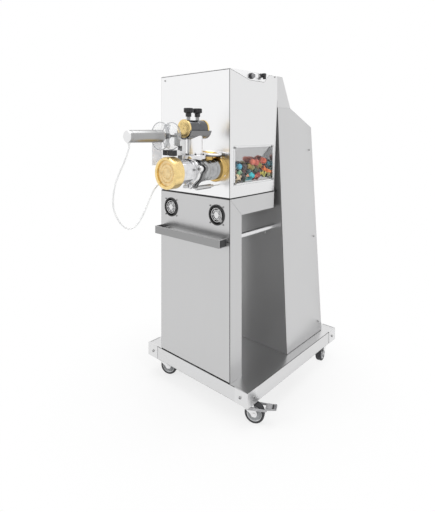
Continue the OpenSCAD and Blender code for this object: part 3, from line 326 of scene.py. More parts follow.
def stand_in(obj, node):
    """Settles a piece in place of a node, with the node's own body and slot."""
    return settle(obj, BODY_OF[node], SLOT_OF[node], node)


def shade(obj, angle=35):
    """Smooth shading with sharp edges past the angle."""
    obj.data.shade_smooth()
    obj.data.set_sharp_from_angle(angle=math.radians(angle))
    return obj


def new_piece(name, mesh):
    obj = bpy.data.objects.new(name, mesh)
    bpy.context.scene.collection.objects.link(obj)
    return obj


def grid_faces(bm, rows):
    """Faces between rows of points."""
    for a, b in zip(rows, rows[1:]):
        for k in range(len(a) - 1):
            bm.faces.new((a[k], a[k + 1], b[k + 1], b[k]))


def from_bmesh(name, bm, normals=True):
    if normals:
        bmesh.ops.remove_doubles(bm, verts=bm.verts, dist=1e-6)
        bmesh.ops.recalc_face_normals(bm, faces=bm.faces)
    mesh = bpy.data.meshes.new(name)
    bm.to_mesh(mesh)
    bm.free()
    return new_piece(name, mesh)


# ---- the cutter motor's lead ----
GLAND = (120, -424, 1114)
LEAD_TUBE_RADIUS = 0.00295    # a little under half the diameter, to stay inside the CAD box
LEAD = [
    GLAND, (120, -424, 1104), (116, -428, 1084), (104, -433, 1052), (84, -438, 1015),
    (66, -440, 980), (53, -440, 940), (44, -436, 905), (41, -427, 874), (43, -413, 844),
    (49, -397, 822), (56, -380, 810), (62, -362, 812), (68, -345, 828), (73, -330, 852),
    (77, -315, 882), (78, -302, 908), (79, -288, 934), (80, -272, 952), (81, -254, 964),
    (84, -236, 973), (92, -222, 980), (99, -218, 983.4),
]


def round_angles(count):
    return [2 * math.pi * k / count for k in range(count)]


def smooth_route(points, steps):
    """A Catmull-Rom line through the points."""
    out = []
    for i in range(len(points) - 1):
        p0, p1, p2, p3 = (points[max(0, min(len(points) - 1, i + k))] for k in (-1, 0, 1, 2))
        for j in range(steps):
            t = j / steps
            out.append(0.5 * ((2 * p1) + (p2 - p0) * t + (2 * p0 - 5 * p1 + 4 * p2 - p3) * t * t
                              + (3 * p1 - p0 - 3 * p2 + p3) * t ** 3))
    out.append(points[-1])
    return out


def tube(name, route, radius, sides=16):
    """A closed tube swept along a route without twist."""
    bm = bmesh.new()
    rings = []
    side = None
    for i, p in enumerate(route):
        ahead = (route[min(i + 1, len(route) - 1)] - route[max(i - 1, 0)]).normalized()
        if side is None:
            side = ahead.orthogonal().normalized()
        side = (side - ahead * side.dot(ahead)).normalized()
        other = ahead.cross(side)
        rings.append([bm.verts.new(p + radius * (math.cos(a) * side + math.sin(a) * other))
                      for a in round_angles(sides)])
    grid_faces(bm, [ring + ring[:1] for ring in rings])
    bm.faces.new(rings[0][::-1])
    bm.faces.new(rings[-1])
    obj = from_bmesh(name, bm)
    return shade(obj, 60)


def build_lead():
    route = smooth_route([at(*p) for p in LEAD], 5)
    obj = tube("motor_lead", route, LEAD_TUBE_RADIUS)
    stand_in(obj, "cutter_lead")


build_lead()


def baked(obj):
    """The object's mesh with its modifiers applied."""
    bpy.context.view_layer.update()
    return bpy.data.meshes.new_from_object(obj.evaluated_get(bpy.context.evaluated_depsgraph_get()))


# ---- softened copies of CAD nodes ----
def outer_folds(bm, least):
    """The long edges where two flat outer faces of a sheet body meet."""
    found = []
    for edge in bm.edges:
        if len(edge.link_faces) != 2 or edge.calc_length() < least:
            continue
        if edge.calc_face_angle_signed(0) < math.radians(30):
            continue
        if all((v.co - edge.verts[0].co).dot(f.normal) < 0.0006 for f in edge.link_faces for v in bm.verts):
            found.append(edge)
    return found


def soften(node, width, edge=None, fold=0.0, finish=None, segments=2, angle=30):
    """A merged copy of a CAD node with its edges rounded by width, and its outer folds by fold. The edge finish, if
    given, goes on the rounded edges and folds as a painted line of shade, or as a painted highlight.
    """
    bm = bmesh.new()
    bm.from_mesh(frame["nodes"][node].data)
    bmesh.ops.remove_doubles(bm, verts=bm.verts, dist=1e-6)
    bmesh.ops.dissolve_limit(bm, angle_limit=math.radians(0.5), verts=bm.verts, edges=bm.edges)
    if fold:
        bmesh.ops.bevel(bm, geom=outer_folds(bm, 0.12), offset=fold, segments=3, profile=0.5, affect="EDGES",
                        material=1, clamp_overlap=True)
    obj = from_bmesh(node + "_piece", bm, normals=False)
    if finish:
        painted(obj, finish)
    stand_in(obj, node)
    bevelled(obj, width, segments, angle)
    # painted shade or painted highlight: the edge finish goes on the rounded edges and the folds
    if edge:
        obj.data.materials.append(FINISH[edge])
        obj.modifiers["edge"].material = len(obj.data.materials) - 1
    return shade(obj)


def zone(obj, finish, test):
    """Gives another finish to the faces that pass a test of their centre, in metres, and their normal."""
    obj.data.materials.append(FINISH[finish])
    for face in obj.data.polygons:
        if test(face.center, face.normal):
            face.material_index = len(obj.data.materials) - 1
    return obj


# ---- shape helpers ----
def stood(x, y, z):
    """A place in millimetres off the front face's middle, unturned."""
    return Matrix.Translation(at(x, y, z))


def spun(degrees, axis="Z"):
    return Matrix.Rotation(math.radians(degrees), 4, axis)


def on_line(centre, e=0.0):
    """Local +Z out of the front face, on a line at centre, with x to the right and y up."""
    turn = Matrix(((1, 0, 0, 0), (0, 0, -1, 0), (0, 1, 0, 0), (0, 0, 0, 1)))
    return Matrix.Translation((centre[0], FRONT - e / 1000, centre[1])) @ turn


def turned_about(line, angles, offset):
    """A matrix at the offset from local Z for each angle in degrees."""
    return [line @ spun(a) @ Matrix.Translation(offset) for a in angles]


def rounded(points, radius, closed=True, steps=3):
    """The outline with each corner rounded, as far as its sides allow."""
    out = []
    n = len(points)
    for i, p in enumerate(points):
        p = Vector(p)
        if not closed and i in (0, n - 1):
            out.append(tuple(p))
            continue
        a, b = Vector(points[i - 1]), Vector(points[(i + 1) % n])
        cut = min(radius, (a - p).length * 0.45, (b - p).length * 0.45)
        start, end = p + (a - p).normalized() * cut, p + (b - p).normalized() * cut
        for k in range(steps + 1):
            t = k / steps
            out.append(tuple(start * (1 - t) ** 2 + p * 2 * t * (1 - t) + end * t * t))
    return out


def lathe(name, matrix, profile, soft, segments=96, finish=None, flutes=None):
    """A body turned about local Z from (radius, height) points in millimetres, its corners rounded by soft.

    A profile that starts on the axis stays open there; any other closes to a ring.
    """
    count, depth, low, high, least = flutes or (0, 0, 0, 0, 0)
    bm = bmesh.new()
    rings = []
    for r, z in rounded(profile, soft, profile[0][0] > 0):
        if r < 1e-4:
            rings.append([bm.verts.new((0, 0, z / 1000))])
            continue
        ring = []
        for a in round_angles(segments):
            rr = r
            if flutes and low <= z <= high and r > least:
                rr = r - depth * max(0.0, math.cos(a * count)) ** 2
            ring.append(bm.verts.new((rr * math.cos(a) / 1000, rr * math.sin(a) / 1000, z / 1000)))
        rings.append(ring)
    loop = list(zip(rings, rings[1:]))
    if len(rings[0]) > 1 and len(rings[-1]) > 1:
        loop.append((rings[-1], rings[0]))
    for a, b in loop:
        for k in range(segments):
            m = (k + 1) % segments
            if len(a) == 1:
                bm.faces.new((a[0], b[m], b[k]))
            elif len(b) == 1:
                bm.faces.new((a[k], a[m], b[0]))
            else:
                bm.faces.new((a[k], a[m], b[m], b[k]))
    bm.transform(matrix)
    obj = shade(from_bmesh(name, bm), 30)
    return painted(obj, finish) if finish else obj


def polar(r, degrees):
    a = math.radians(degrees)
    return r * math.cos(a), r * math.sin(a)


def circle_points(x, y, r, n=48):
    return [(x + r * math.cos(a), y + r * math.sin(a)) for a in round_angles(n)]


def plate(name, matrix, outlines, thick, edge=0.8, low=0.0):
    """A plate cut from 2D outlines and holes in millimetres, edges rounded; it fills local z low to low + thick."""
    curve = bpy.data.curves.new(name, "CURVE")
    curve.dimensions = "2D"
    curve.fill_mode = "BOTH"
    curve.extrude = (thick / 2 - edge) / 1000
    curve.bevel_depth = edge / 1000
    curve.bevel_resolution = 2
    curve.offset = -edge / 1000
    for points in outlines:
        spline = curve.splines.new("POLY")
        spline.points.add(len(points) - 1)
        for p, (x, y) in zip(spline.points, points):
            p.co = (x / 1000, y / 1000, 0, 1)
        spline.use_cyclic_u = True
    maker = new_piece(name, curve)
    mesh = baked(maker)
    bpy.data.objects.remove(maker)
    bm = bmesh.new()
    bm.from_mesh(mesh)
    bm.transform(matrix @ Matrix.Translation((0, 0, (low + thick / 2) / 1000)))
    return shade(from_bmesh(name, bm), 35)


def walled(obj, thickness):
    """A sheet thickened to both sides."""
    wall = obj.modifiers.new("wall", "SOLIDIFY")
    wall.thickness = thickness
    wall.offset = 0
    return obj


def box_mesh(bm, low, high):
    """A box in metres added to bm."""
    made = bmesh.ops.create_cube(bm, size=1)["verts"]
    low, high = Vector(low), Vector(high)
    for v in made:
        v.co = Vector(tuple(low[i] + (v.co[i] + 0.5) * (high[i] - low[i]) for i in range(3)))


def bevelled(obj, width, segments=2, angle=30):
    b = obj.modifiers.new("edge", "BEVEL")
    b.width = width
    b.segments = segments
    b.limit_method = "ANGLE"
    b.angle_limit = math.radians(angle)
    b.harden_normals = True
    return obj


def soft_box(name, low, high, finish, width, segments=3, matrix=Matrix()):
    """A painted box in metres with rounded edges."""
    bm = bmesh.new()
    box_mesh(bm, low, high)
    bm.transform(matrix)
    return painted(bevelled(from_bmesh(name, bm), width, segments), finish)


def join(name, *objs):
    """One piece out of several finished ones, with their modifiers applied."""
    bm = bmesh.new()
    materials = []
    for o in objs:
        mesh = baked(o)
        mesh.transform(o.matrix_world)
        start = len(bm.faces)
        bm.from_mesh(mesh)
        bm.faces.ensure_lookup_table()
        remap = []
        for m in mesh.materials:
            if m not in materials:
                materials.append(m)
            remap.append(materials.index(m))
        if remap:
            for f in bm.faces[start:]:
                f.material_index = remap[min(f.material_index, len(remap) - 1)]
        bpy.data.meshes.remove(mesh)
        bpy.data.objects.remove(o)
    mesh = bpy.data.meshes.new(name)
    bm.to_mesh(mesh)
    bm.free()
    for m in materials:
        mesh.materials.append(m)
    return new_piece(name, mesh)


def painted(obj, finish):
    obj.data.materials.clear()
    obj.data.materials.append(FINISH[finish])
    return obj


# ---- repeats by Geometry Nodes ----
def repeat_tree(name):
    """Copies a template onto each point, turned by the point's own 'turn' and scaled by 'size'."""
    tree = bpy.data.node_groups.new(name, "GeometryNodeTree")
    face = tree.interface
    face.new_socket("Geometry", in_out="INPUT", socket_type="NodeSocketGeometry")
    face.new_socket("Template", in_out="INPUT", socket_type="NodeSocketObject")
    face.new_socket("Finish", in_out="INPUT", socket_type="NodeSocketMaterial")
    face.new_socket("Geometry", in_out="OUTPUT", socket_type="NodeSocketGeometry")
    n = tree.nodes
    start, end = n.new("NodeGroupInput"), n.new("NodeGroupOutput")
    info = n.new("GeometryNodeObjectInfo")
    info.transform_space = "ORIGINAL"
    put = n.new("GeometryNodeInstanceOnPoints")
    real = n.new("GeometryNodeRealizeInstances")
    paint = n.new("GeometryNodeSetMaterial")
    link = tree.links.new
    link(start.outputs["Geometry"], put.inputs["Points"])
    link(start.outputs["Template"], info.inputs["Object"])
    link(info.outputs["Geometry"], put.inputs["Instance"])
    for attribute, socket in (("turn", "Rotation"), ("size", "Scale")):
        read = n.new("GeometryNodeInputNamedAttribute")
        read.data_type = "FLOAT_VECTOR"
        read.inputs["Name"].default_value = attribute
        link(read.outputs["Attribute"], put.inputs[socket])
    link(put.outputs["Instances"], real.inputs["Geometry"])
    link(real.outputs["Geometry"], paint.inputs["Geometry"])
    link(start.outputs["Finish"], paint.inputs["Material"])
    link(paint.outputs["Geometry"], end.inputs["Geometry"])
    return tree


REPEAT = repeat_tree("repeat_on_points")


def repeat(name, template, places, finish, slot):
    """A piece of the machine with the template at each matrix; the template is removed."""
    mesh = bpy.data.meshes.new(name + "_points")
    mesh.from_pydata([m.to_translation() for m in places], [], [])
    turn = mesh.attributes.new("turn", "FLOAT_VECTOR", "POINT")
    size = mesh.attributes.new("size", "FLOAT_VECTOR", "POINT")
    for i, m in enumerate(places):
        turn.data[i].vector = m.to_euler("XYZ")
        size.data[i].vector = m.to_scale()
    points = new_piece(name + "_points", mesh)
    modifier = points.modifiers.new("repeat", "NODES")
    modifier.node_group = REPEAT
    values = {"Template": template, "Finish": FINISH[finish]}
    for item in REPEAT.interface.items_tree:
        if item.item_type == "SOCKET" and item.in_out == "INPUT" and item.name in values:
            modifier[item.identifier] = values[item.name]
    made = baked(points)
    bpy.data.objects.remove(points)
    bpy.data.objects.remove(template)
    made.name = name
    return settle(shade(painted(new_piece(name, made), finish)), "machine", slot)


# ---- extruder ----
# The clamp flange: radius, reach and angles of its lobes, and radius of its bolt circle, in millimetres and degrees.
FLANGE_R = 52.0
LOBE_R = 69
LOBES = (12, 168, 270)
BOLT_CIRCLE = 56


def build_extruder():
    line = on_line(AXIS)
    stand_in(lathe("ring_nut_piece", line, [
        (44.6, 244.3), (55.5, 244.3), (59, 247.5), (59, 284), (55.5, 290), (48.5, 290), (46.4, 288), (46.4, 282.3),
        (48.7, 282.3), (48.7, 267.8), (44.6, 267.8)], 0.7, 160), "ring_nut")

    stand_in(lathe("die_face", line, [
        (0, 268), (48.4, 268), (48.4, 281), (46.8, 282), (38, 281.2), (37, 280.4), (12, 280.4), (10, 281.4),
        (0, 281.4)], 0.5, 128), "die")
    nozzle = lathe("nozzle", Matrix(), [(1.2, -2), (1.2, 0.9), (1.9, 1.3), (2.7, 0.9), (2.7, -2)], 0.2, 14)
    places = [place for count, r in ((26, 0.0335), (14, 0.0205))
              for place in turned_about(line, [360 * k / count for k in range(count)], (r, 0, 0.2804))]
    repeat("die_nozzles", nozzle, places, "die_brass", "die_brass")

    stand_in(lathe("front_barrel_piece", line, [
        (32, 172), (44.5, 172), (44.5, 176), (43.6, 176.8), (43.6, 179), (44.5, 180), (44.5, 232), (43.4, 233),
        (43.4, 236), (44.5, 237), (44.5, 267.6), (32, 267.6)], 0.6, 128, "barrel_steel"), "front_barrel")

    rear = lathe("rear_barrel_body", line, [
        (32, 30), (44, 30), (44, 52), (42.4, 52.6), (42.4, 55), (43.7, 55.6), (43.7, 80), (42.2, 80.6), (42.2, 85),
        (44, 86), (44, 96), (45.5, 99), (45.5, 108), (44, 109.5), (44, 118), (42.6, 118.6), (42.6, 122),
        (44, 122.6), (44, 131.7), (32, 131.7)], 0.4, 128, "dark_barrel")
    tip = stood(150, -55, 1074) @ spun(8, "Y")
    collar = lathe("collar", tip, [
        (34, -2.4), (51, -2.4), (51, 1.6), (49, 3.2), (36, 3.2), (34, 1.6)], 1.0, 112, "edge_light")
    cup = lathe("cup", tip, [
        (19.5, -6.5), (30, -6.5), (34.6, -2.0), (33.6, 1.2), (29, -3.6), (19.5, -4.6)], 0.5, finish="ring_brass")
    holed = [circle_points(0, 0, 42, 96), circle_points(0, -20, 18.5, 64)]
    seat = painted(plate("seat", stood(150, -46, 1060), holed, 6, 1.6), "cradle_steel")
    rim = lathe("rim", stood(150, -66, 1008), [
        (18.4, 34), (21.4, 34), (21.4, 57), (20, 58), (18.4, 58)], 0.6, 64, "ring_brass")
    stand_in(join("rear_barrel_piece", rear, collar, cup, seat, rim), "rear_barrel")

    stand_in(lathe("rear_ring_piece", line, [
        (33, 0.3), (50.5, 0.3), (53.5, 2.4), (53.5, 25.6), (52.6, 26.4), (52, 28.2), (50.5, 29.7), (33, 29.7),
        (33, 25), (24.2, 25), (24.2, 5), (13, 5), (13, 0.3)], 0.5, 144, "ring_brass"), "rear_ring")
    pin = lathe("pin", Matrix(), [(0, -1), (3.4, -1), (3.4, 0.5), (2.6, 1.0), (1.7, 0.2), (0, 0.2)], 0.2, 20)
    places = [place @ spun(90, "Y") for place in turned_about(line, (-30, 60, 150, 240), (0.0532, 0, 0.0145))]
    repeat("ring_pins", pin, places, "edge_light", "screw_steel")

    # clamp flange: two lobed plates with bolts
    def lobed():
        points = []
        for a in round_angles(240):
            r = FLANGE_R
            for lobe in LOBES:
                off = (math.degrees(a) - lobe + 180) % 360 - 180
                swell = math.exp(-(off / 13.5) ** 2 * 0.9)
                r = max(r, FLANGE_R + (LOBE_R - FLANGE_R) * swell)
            points.append((r * math.cos(a), r * math.sin(a)))
        return points
    holes = [circle_points(*polar(BOLT_CIRCLE, a), 4.0, 24) for a in LOBES]
    plates = [plate("flange_%d" % e, line, [lobed(), circle_points(0, 0, 32, 96)] + holes, 13.4, 1.8, e)
              for e in (132.1, 158.2)]
    waist = lathe("waist", line, [(32, 144), (46, 144), (46, 160), (32, 160)], 0.3, finish="dark_barrel")
    eye = lathe("eye", line @ Matrix.Translation((0, -BOLT_CIRCLE / 1000, 0)), [
        (4.1, 171.6), (9.4, 171.6), (9.4, 174.4), (8.2, 175.6), (5.2, 175.6), (4.1, 174.6)
    ], 0.5, 40, "barrel_steel")
    for o, finish in zip(plates, ("cradle_steel", "polished_steel")):
        painted(o, finish)
    stand_in(join("clamp_flange_piece", *plates, waist, eye), "clamp_flange")
    bolt = lathe("bolt", Matrix(), [
        (0, 0), (3.9, 0), (3.9, 34), (6.2, 34.2), (6.2, 39), (5.6, 39.8), (3, 39.8), (3, 37), (0, 37)], 0.3, 24)
    places = [line @ Matrix.Translation((*polar(BOLT_CIRCLE / 1000, a), 0.134)) for a in LOBES[:2]]
    repeat("flange_bolts", bolt, places, "screw_steel", "screw_steel")
    stay = smooth_route([at(137, -104, 1062), at(137, -104, 1075), at(134, -103.5, 1100), at(131, -103, 1126),
                         at(130, -103, 1130)], 4)
    settle(painted(tube("stay_rod", stay, 0.0017, 12), "screw_steel"), "machine", "screw_steel")

    stand_in(lathe("neck_flange_piece", stood(150, -139, 1008), [
        (31.4, 46), (43.6, 46), (44, 48), (44, 58), (42.5, 61), (38, 62), (31.4, 62)
    ], 1.2, finish="barrel_steel"), "neck_flange")
    screw = lathe("cap_screw", Matrix(), [
        (0, 0), (3.5, 0), (3.5, 3.4), (3.1, 4), (1.8, 4), (1.8, 2), (0, 2)], 0.25, 18)
    places = turned_about(stood(150, -139, 1070), range(20, 380, 60), (0.037, 0, 0))
    repeat("neck_screws", screw, places, "knob_black", "screw_steel")


# ---- upper unit ----
def build_upper_unit():
    line = on_line(UNIT)
    stand_in(lathe("upper_cylinder_piece", line, [
        (0, 100.3), (33, 100.3), (33, 138), (32, 139.5), (32, 152), (33, 153.5), (33, 189.7), (0, 189.7)
    ], 0.8), "upper_cylinder")
    front = lathe("cap_front", line, [
        (1.6, 190), (34, 190), (35, 191), (35, 197), (34, 198), (1.6, 198)], 0.5, finish="unit_brass")
    back = lathe("cap_back", line, [(22, 92), (34.5, 92), (34.5, 100), (22, 100)], 0.6, finish="unit_brass")
    stand_in(join("upper_caps_piece", front, back), "upper_end_caps")
    zone(soften("upper_cradle", 0.0008, "edge_dark", finish="cradle_steel", segments=3), "mirror_steel",
         lambda c, n: c.z < UNIT[1] - 0.041)

    for name, e in (("hold_knob_rear", 124), ("hold_knob_front", 172)):
        foot = stood(150, -e, 1170)
        cap = lathe("cap", foot, [
            (0, 45), (10.8, 45), (10.8, 58), (15, 60.5), (18, 61.5), (18, 76), (16.5, 78), (8, 78), (7, 77), (0, 77)
        ], 0.8, flutes=(12, 1.6, 59, 77.4, 14), finish="knob_black")
        stud = lathe("stud", foot, [(0, 14), (4, 14), (4, 46), (0, 46)], 0.2, 24, "screw_steel")
        pins = [lathe("pin", foot @ Matrix.Translation((0, y, 0)), [
            (0, 34), (1.5, 34), (1.5, 50), (0, 50)], 0.2, 16, "screw_steel")
                for y in (-0.0079, 0.0079)]
        stand_in(join(name + "_piece", cap, stud, *pins), name)


# ---- cutter ----
def build_cutter():
    line = on_line(CUTTER)
    motor = lathe("cutter_motor_body", line, [
        (0, 271), (15, 271), (19, 276), (22, 279), (23, 283), (23, 310), (22.4, 311), (22.4, 313), (23, 314),
        (22, 417), (21.2, 418), (21.2, 420), (21.6, 421), (21.2, 431), (18.5, 435), (0, 435)
    ], 0.9, finish="motor_alu")
    zone(motor, "motor_face", lambda c, n: c.y < FRONT - 0.4305)
    gland = lathe("gland", stood(*GLAND), [
        (3.1, 0), (4.2, 0), (5.5, 3), (5.5, 10), (3.1, 10)], 0.4, 32, "lead_clear")
    stand_in(join("cutter_motor_piece", motor, gland), "cutter_motor")

    drum = lathe("drum", line, [
        (7, 230), (50.5, 230), (52, 231.5), (52, 286.5), (50.5, 288), (23.4, 288), (23.4, 286), (49.4, 286),
        (49.4, 232), (7, 232)], 0.5, finish="clear_guard")
    # painted shade: grey rings laid over the ends of the clear drum
    painted_shade_rims = [lathe("rim", line, [
        (49.0, e), (52, e), (52, e + 3.4), (49.0, e + 3.4)], 0.9, finish="guard_edge") for e in (230, 284.6)]
    chute = bmesh.new()
    rows = []
    for i in range(9):
        t = i / 8
        x = -49 - 8 * math.sin(min(1.0, t * 2.2) * math.pi / 2)
        z = 2 - 112 * t
        rows.append([chute.verts.new(at(120 + x, y, 1142 + z)) for y in (-277, -262, -246, -231)])
    grid_faces(chute, rows)
    chute = painted(walled(from_bmesh("chute", chute), 0.002), "chute_clear")
    stand_in(join("cutter_guard_piece", drum, *painted_shade_rims, chute), "cutter_guard")

    shaft = lathe("shaft", line, [
        (0, 196), (5, 196), (5, 243), (11, 244), (11, 260), (5, 261), (5, 289), (0, 289)
    ], 0.3, 32, "knob_black")
    outline = rounded([(-5, 4), (-6, 12), (-15, 32), (-17, 41), (-11, 44.5),
                       (11, 44.5), (17, 41), (15, 32), (6, 12), (5, 4)], 2)
    blades = [painted(plate("blade", line @ spun(turn), [outline], 3.4, 0.6, 250.3), "clear_knife")
              for turn in (0, 180)]
    stand_in(join("cutter_rotor_piece", shaft, *blades), "cutter_rotor")
    bracket = soften("cutter_bracket", 0.0008, "edge_dark")
    zone(bracket, "cap_steel", lambda c, n: 1.0675 < c.z < 1.0905 and c.y < FRONT - 0.2005)
    zone(bracket, "knob_black", lambda c, n: 1.0675 < c.z < 1.0905 and c.y < FRONT - 0.2225)
    clamps = []
    for low, high, front, back in ((60.6, 83, -224.2, -205), (119, 141.2, -243.4, -222)):
        clamps.append(soft_box("clamp", at(low, front, 1067.6), at(high, back, 1088.6), "knob_black", 0.0016))
    settle(join("clamp_blocks", *clamps), "machine", "bracket_grey")


# ---- fans ----
FAN_OUT = 139.5
FAN_UP = 815


def build_fans():
    for name, side in (("left", -1), ("right", 1)):
        line = on_line((MIDDLE + side * FAN_OUT / 1000, FAN_UP / 1000))
        hub = lathe("hub", line, [
            (3.1, -22.8), (16, -22.8), (16, -9), (20.5, -8), (20.5, -6.4), (19.5, -5.6), (11, -5.6), (10.4, -6.2),
            (9.8, -5.6), (3.1, -5.6)], 0.3, 64, "fan_hub")
        blades = bmesh.new()
        for k in range(7):
            rows = []
            for i in range(7):
                r = 14.5 + 18.5 * i / 6
                lean = math.radians(9 * i / 6)
                row = []
                for j in range(4):
                    t = j / 3 - 0.5
                    a = 2 * math.pi * k / 7 + lean + t * math.radians(40 - 8 * i / 6)
                    z = -14.5 + t * 12 * (1 - 0.25 * i / 6)
                    row.append(blades.verts.new((r * math.cos(a) / 1000, r * math.sin(a) / 1000, z / 1000)))
                rows.append(row)
            grid_faces(blades, rows)
        blades.transform(line)
        blades = painted(walled(from_bmesh("blades", blades), 0.0014), "fan_blade")
        rotor = join("fan_rotor_%s_piece" % name, hub, blades)
        shade(stand_in(rotor, "fan_rotor_" + name), 40)


# ---- casters ----
WHEEL_RAKE = 0.038
AXLE_UP = 0.04
PEDAL_PIVOT = (0.012, 0, 0.062)
PEDAL_SLOPE = 0.075
# tag: (x and y of the kingpin in millimetres, angle of the fork in degrees, name)
CASTERS = {"fr": (254, 46, 25, "front_right"), "fl": (-254, 46, 25, "front_left"),
           "rr": (254, 689, -78, "rear_right"), "rl": (-254, 689, -78, "rear_left")}


def caster_base(x, y, yaw):
    return stood(x, y, 0) @ spun(yaw)


def build_casters():
    for tag, (x, y, yaw, name) in CASTERS.items():
        base = caster_base(x, y, yaw)
        axle = base @ Matrix.Translation((WHEEL_RAKE, 0, AXLE_UP)) @ spun(90, "X")
        tyre = lathe("tyre", axle, [
            (30, -13.5), (33, -14), (36, -14.4), (39, -11.5), (40, -8), (40, -3.4), (39.2, -2.6), (39.2, 2.6),
            (40, 3.4), (40, 8), (39, 11.5), (36, 14.4), (33, 14), (30, 13.5)], 0.8, finish="tyre")
        rim = lathe("rim", axle, [
            (13, -10.5), (16, -10), (22, -9), (27, -10.5), (28.5, -13.2), (30.3, -13.2), (30.3, 13.2), (28.5, 13.2),
            (27, 10.5), (22, 9), (16, 10), (13, 10.5)], 0.8, 80, "wheel_disc")
        zone(rim, "wheel_rim", lambda c, n, axle=axle: (axle.inverted() @ c).xy.length > 0.0272)
        hub = lathe("hub", axle, [
            (5.05, -15), (11, -15), (12.5, -13.5), (13.3, -9), (13.3, 9), (12.5, 13.5), (11, 15), (5.05, 15)
        ], 0.6, 48, "fitting_steel")
        stand_in(join("wheel_%s_piece" % name, tyre, rim, hub), "wheel_" + name)
        soften("fork_" + name, 0.0006, "edge_dark", angle=25)
        race = lathe("race_" + name, base, [
            (14, 98.4), (24, 97.0), (28, 99.6), (29, 102), (29, 106), (27.5, 109.3), (14, 109.3)], 0.8, 64)
        settle(race, "fork_" + tag, "fork_steel")
    x, y, yaw, _ = CASTERS["fr"]
    pivot = caster_base(x, y, yaw) @ Matrix.Translation(PEDAL_PIVOT)
    soften("brake_pedal", 0.0008, angle=25)
    tread = []
    for start, end, grow, finish in ((77, 96, 0.9, "pedal_grey"), (98, 103, 1.1, "knob_black"),
                                     (105, 113.4, 1.4, "latch_grey")):
        low, high = start * PEDAL_SLOPE + 4, end * PEDAL_SLOPE + 4.6 + grow
        tread.append(soft_box("pad", (start / 1000, -0.0152, low / 1000), (end / 1000, 0.0152, high / 1000), finish,
                              0.0011, 3, pivot))
    settle(join("pedal_tread", *tread), "brake_pedal", "pedal_grey")


# ---- latches ----
def build_latches():
    turn = Matrix(((0, 0, 1, 0), (1, 0, 0, 0), (0, 1, 0, 0), (0, 0, 0, 1)))
    foot = stood(210, 142, 1396) @ turn
    skirt = lathe("skirt", foot, [
        (0, -8), (4, -8), (4, 0.4), (13, 0.4), (13, 6), (11.6, 8), (0, 8)
    ], 0.7, 64, flutes=(12, 0.7, 1, 6.4, 11), finish="knob_black")
    cap = lathe("cap", foot, [(0, 8), (10.4, 8), (10, 12.4), (7.6, 14), (0, 14)], 1.0, 48, "latch_grey")
    stand_in(join("latch_front_knob", skirt, cap), "latch_knob_front")

    foot = stood(210, 218, 1405) @ turn
    stem = lathe("stem", foot, [
        (0, -8), (4, -8), (4, 0.4), (9.5, 0.4), (9.5, 6), (6.5, 8), (6.5, 12), (0, 12)
    ], 0.5, 40, "knob_black")
    grip = bmesh.new()
    box_mesh(grip, (-0.0088, -0.0174, 0.0085), (0.0088, 0.0088, 0.02))
    for v in grip.verts:
        if v.co.y < 0:
            v.co.x *= 0.66
    grip.transform(foot)
    grip = painted(bevelled(from_bmesh("grip", grip), 0.003, 4), "knob_black")
    stand_in(join("latch_rear_knob", stem, grip), "latch_knob_rear")

    keep = soft_box("keep", at(210.3, 160, 1391), at(219, 184, 1408), "edge_light", 0.0028, 4)
    catch = lathe("catch", stood(216, 188, 1399) @ turn, [
        (0, 0), (5, 0), (5, 5), (4, 6), (0, 6)], 0.5, 32, "screw_steel")
    settle(join("latch_keep", keep, catch), "lid", "cap_steel")


# ---- dried pasta in the window ----
PANE_X = 207.5       # the pane's inner face
WALL_FOOT = 984      # where the tray's back wall begins to lean out
PASTA = [
    # kind, y, z, size, tint, tilt in degrees
    ("ball", 84, 1012, 13, (0.1, 0.48, 0.68), 0), ("ball", 72, 985, 9, (0.16, 0.42, 0.22), 20),
    ("shell", 118, 1008, 13, (0.075, 0.045, 0.04), 15), ("ball", 105, 990, 9, (0.1, 0.035, 0.03), 0),
    ("twist", 150, 1008, 12, (0.42, 0.3, 0.06), 35), ("twist", 172, 1003, 13, (0.3, 0.26, 0.07), -20),
    ("ball", 170, 1027, 17, (0.78, 0.19, 0.12), 10), ("shell", 198, 1024, 14, (0.62, 0.13, 0.09), -20),
    ("twist", 200, 1000, 11, (0.22, 0.13, 0.05), 60), ("twist", 226, 1011, 13, (0.36, 0.28, 0.05), 15),
    ("ball", 254, 1028, 15, (0.74, 0.13, 0.06), 0), ("tube", 236, 1030, 12, (0.5, 0.1, 0.05), 50),
    ("ball", 290, 1012, 12, (0.02, 0.16, 0.2), 0), ("shell", 272, 1004, 12, (0.03, 0.05, 0.06), 30),
    ("tube", 268, 990, 15, (0.9, 0.2, 0.03), -32), ("tube", 285, 981, 13, (0.86, 0.24, 0.04), -20),
    ("ball", 212, 985, 14, (0.016, 0.02, 0.018), 0), ("shell", 192, 991, 12, (0.05, 0.08, 0.04), 0),
    ("tube", 92, 985, 16, (0.42, 0.62, 0.42), -38), ("tube", 104, 974, 13, (0.035, 0.04, 0.035), -38),
    ("tube", 160, 974, 15, (0.02, 0.58, 0.66), -30), ("shell", 146, 985, 11, (0.05, 0.12, 0.13), 10),
    ("bow", 132, 970, 12, (0.85, 0.42, 0.24), 20), ("bow", 240, 966, 15, (0.62, 0.56, 0.1), 0),
    ("bow", 262, 964, 12, (0.5, 0.5, 0.1), 50), ("shell", 62, 970, 12, (0.86, 0.68, 0.42), 0),
    ("ball", 46, 970, 8, (0.05, 0.035, 0.03), 0), ("bow", 82, 966, 9, (0.82, 0.62, 0.4), 60),
    ("shell", 208, 960, 12, (0.34, 0.04, 0.035), 0), ("tube", 186, 964, 10, (0.55, 0.1, 0.06), 10),
    ("twist", 286, 962, 11, (0.3, 0.3, 0.12), 40), ("ball", 116, 962, 7, (0.12, 0.2, 0.14), 0),
    ("twist", 48, 992, 9, (0.2, 0.08, 0.06), 70), ("ball", 296, 990, 8, (0.08, 0.12, 0.1), 0),
]


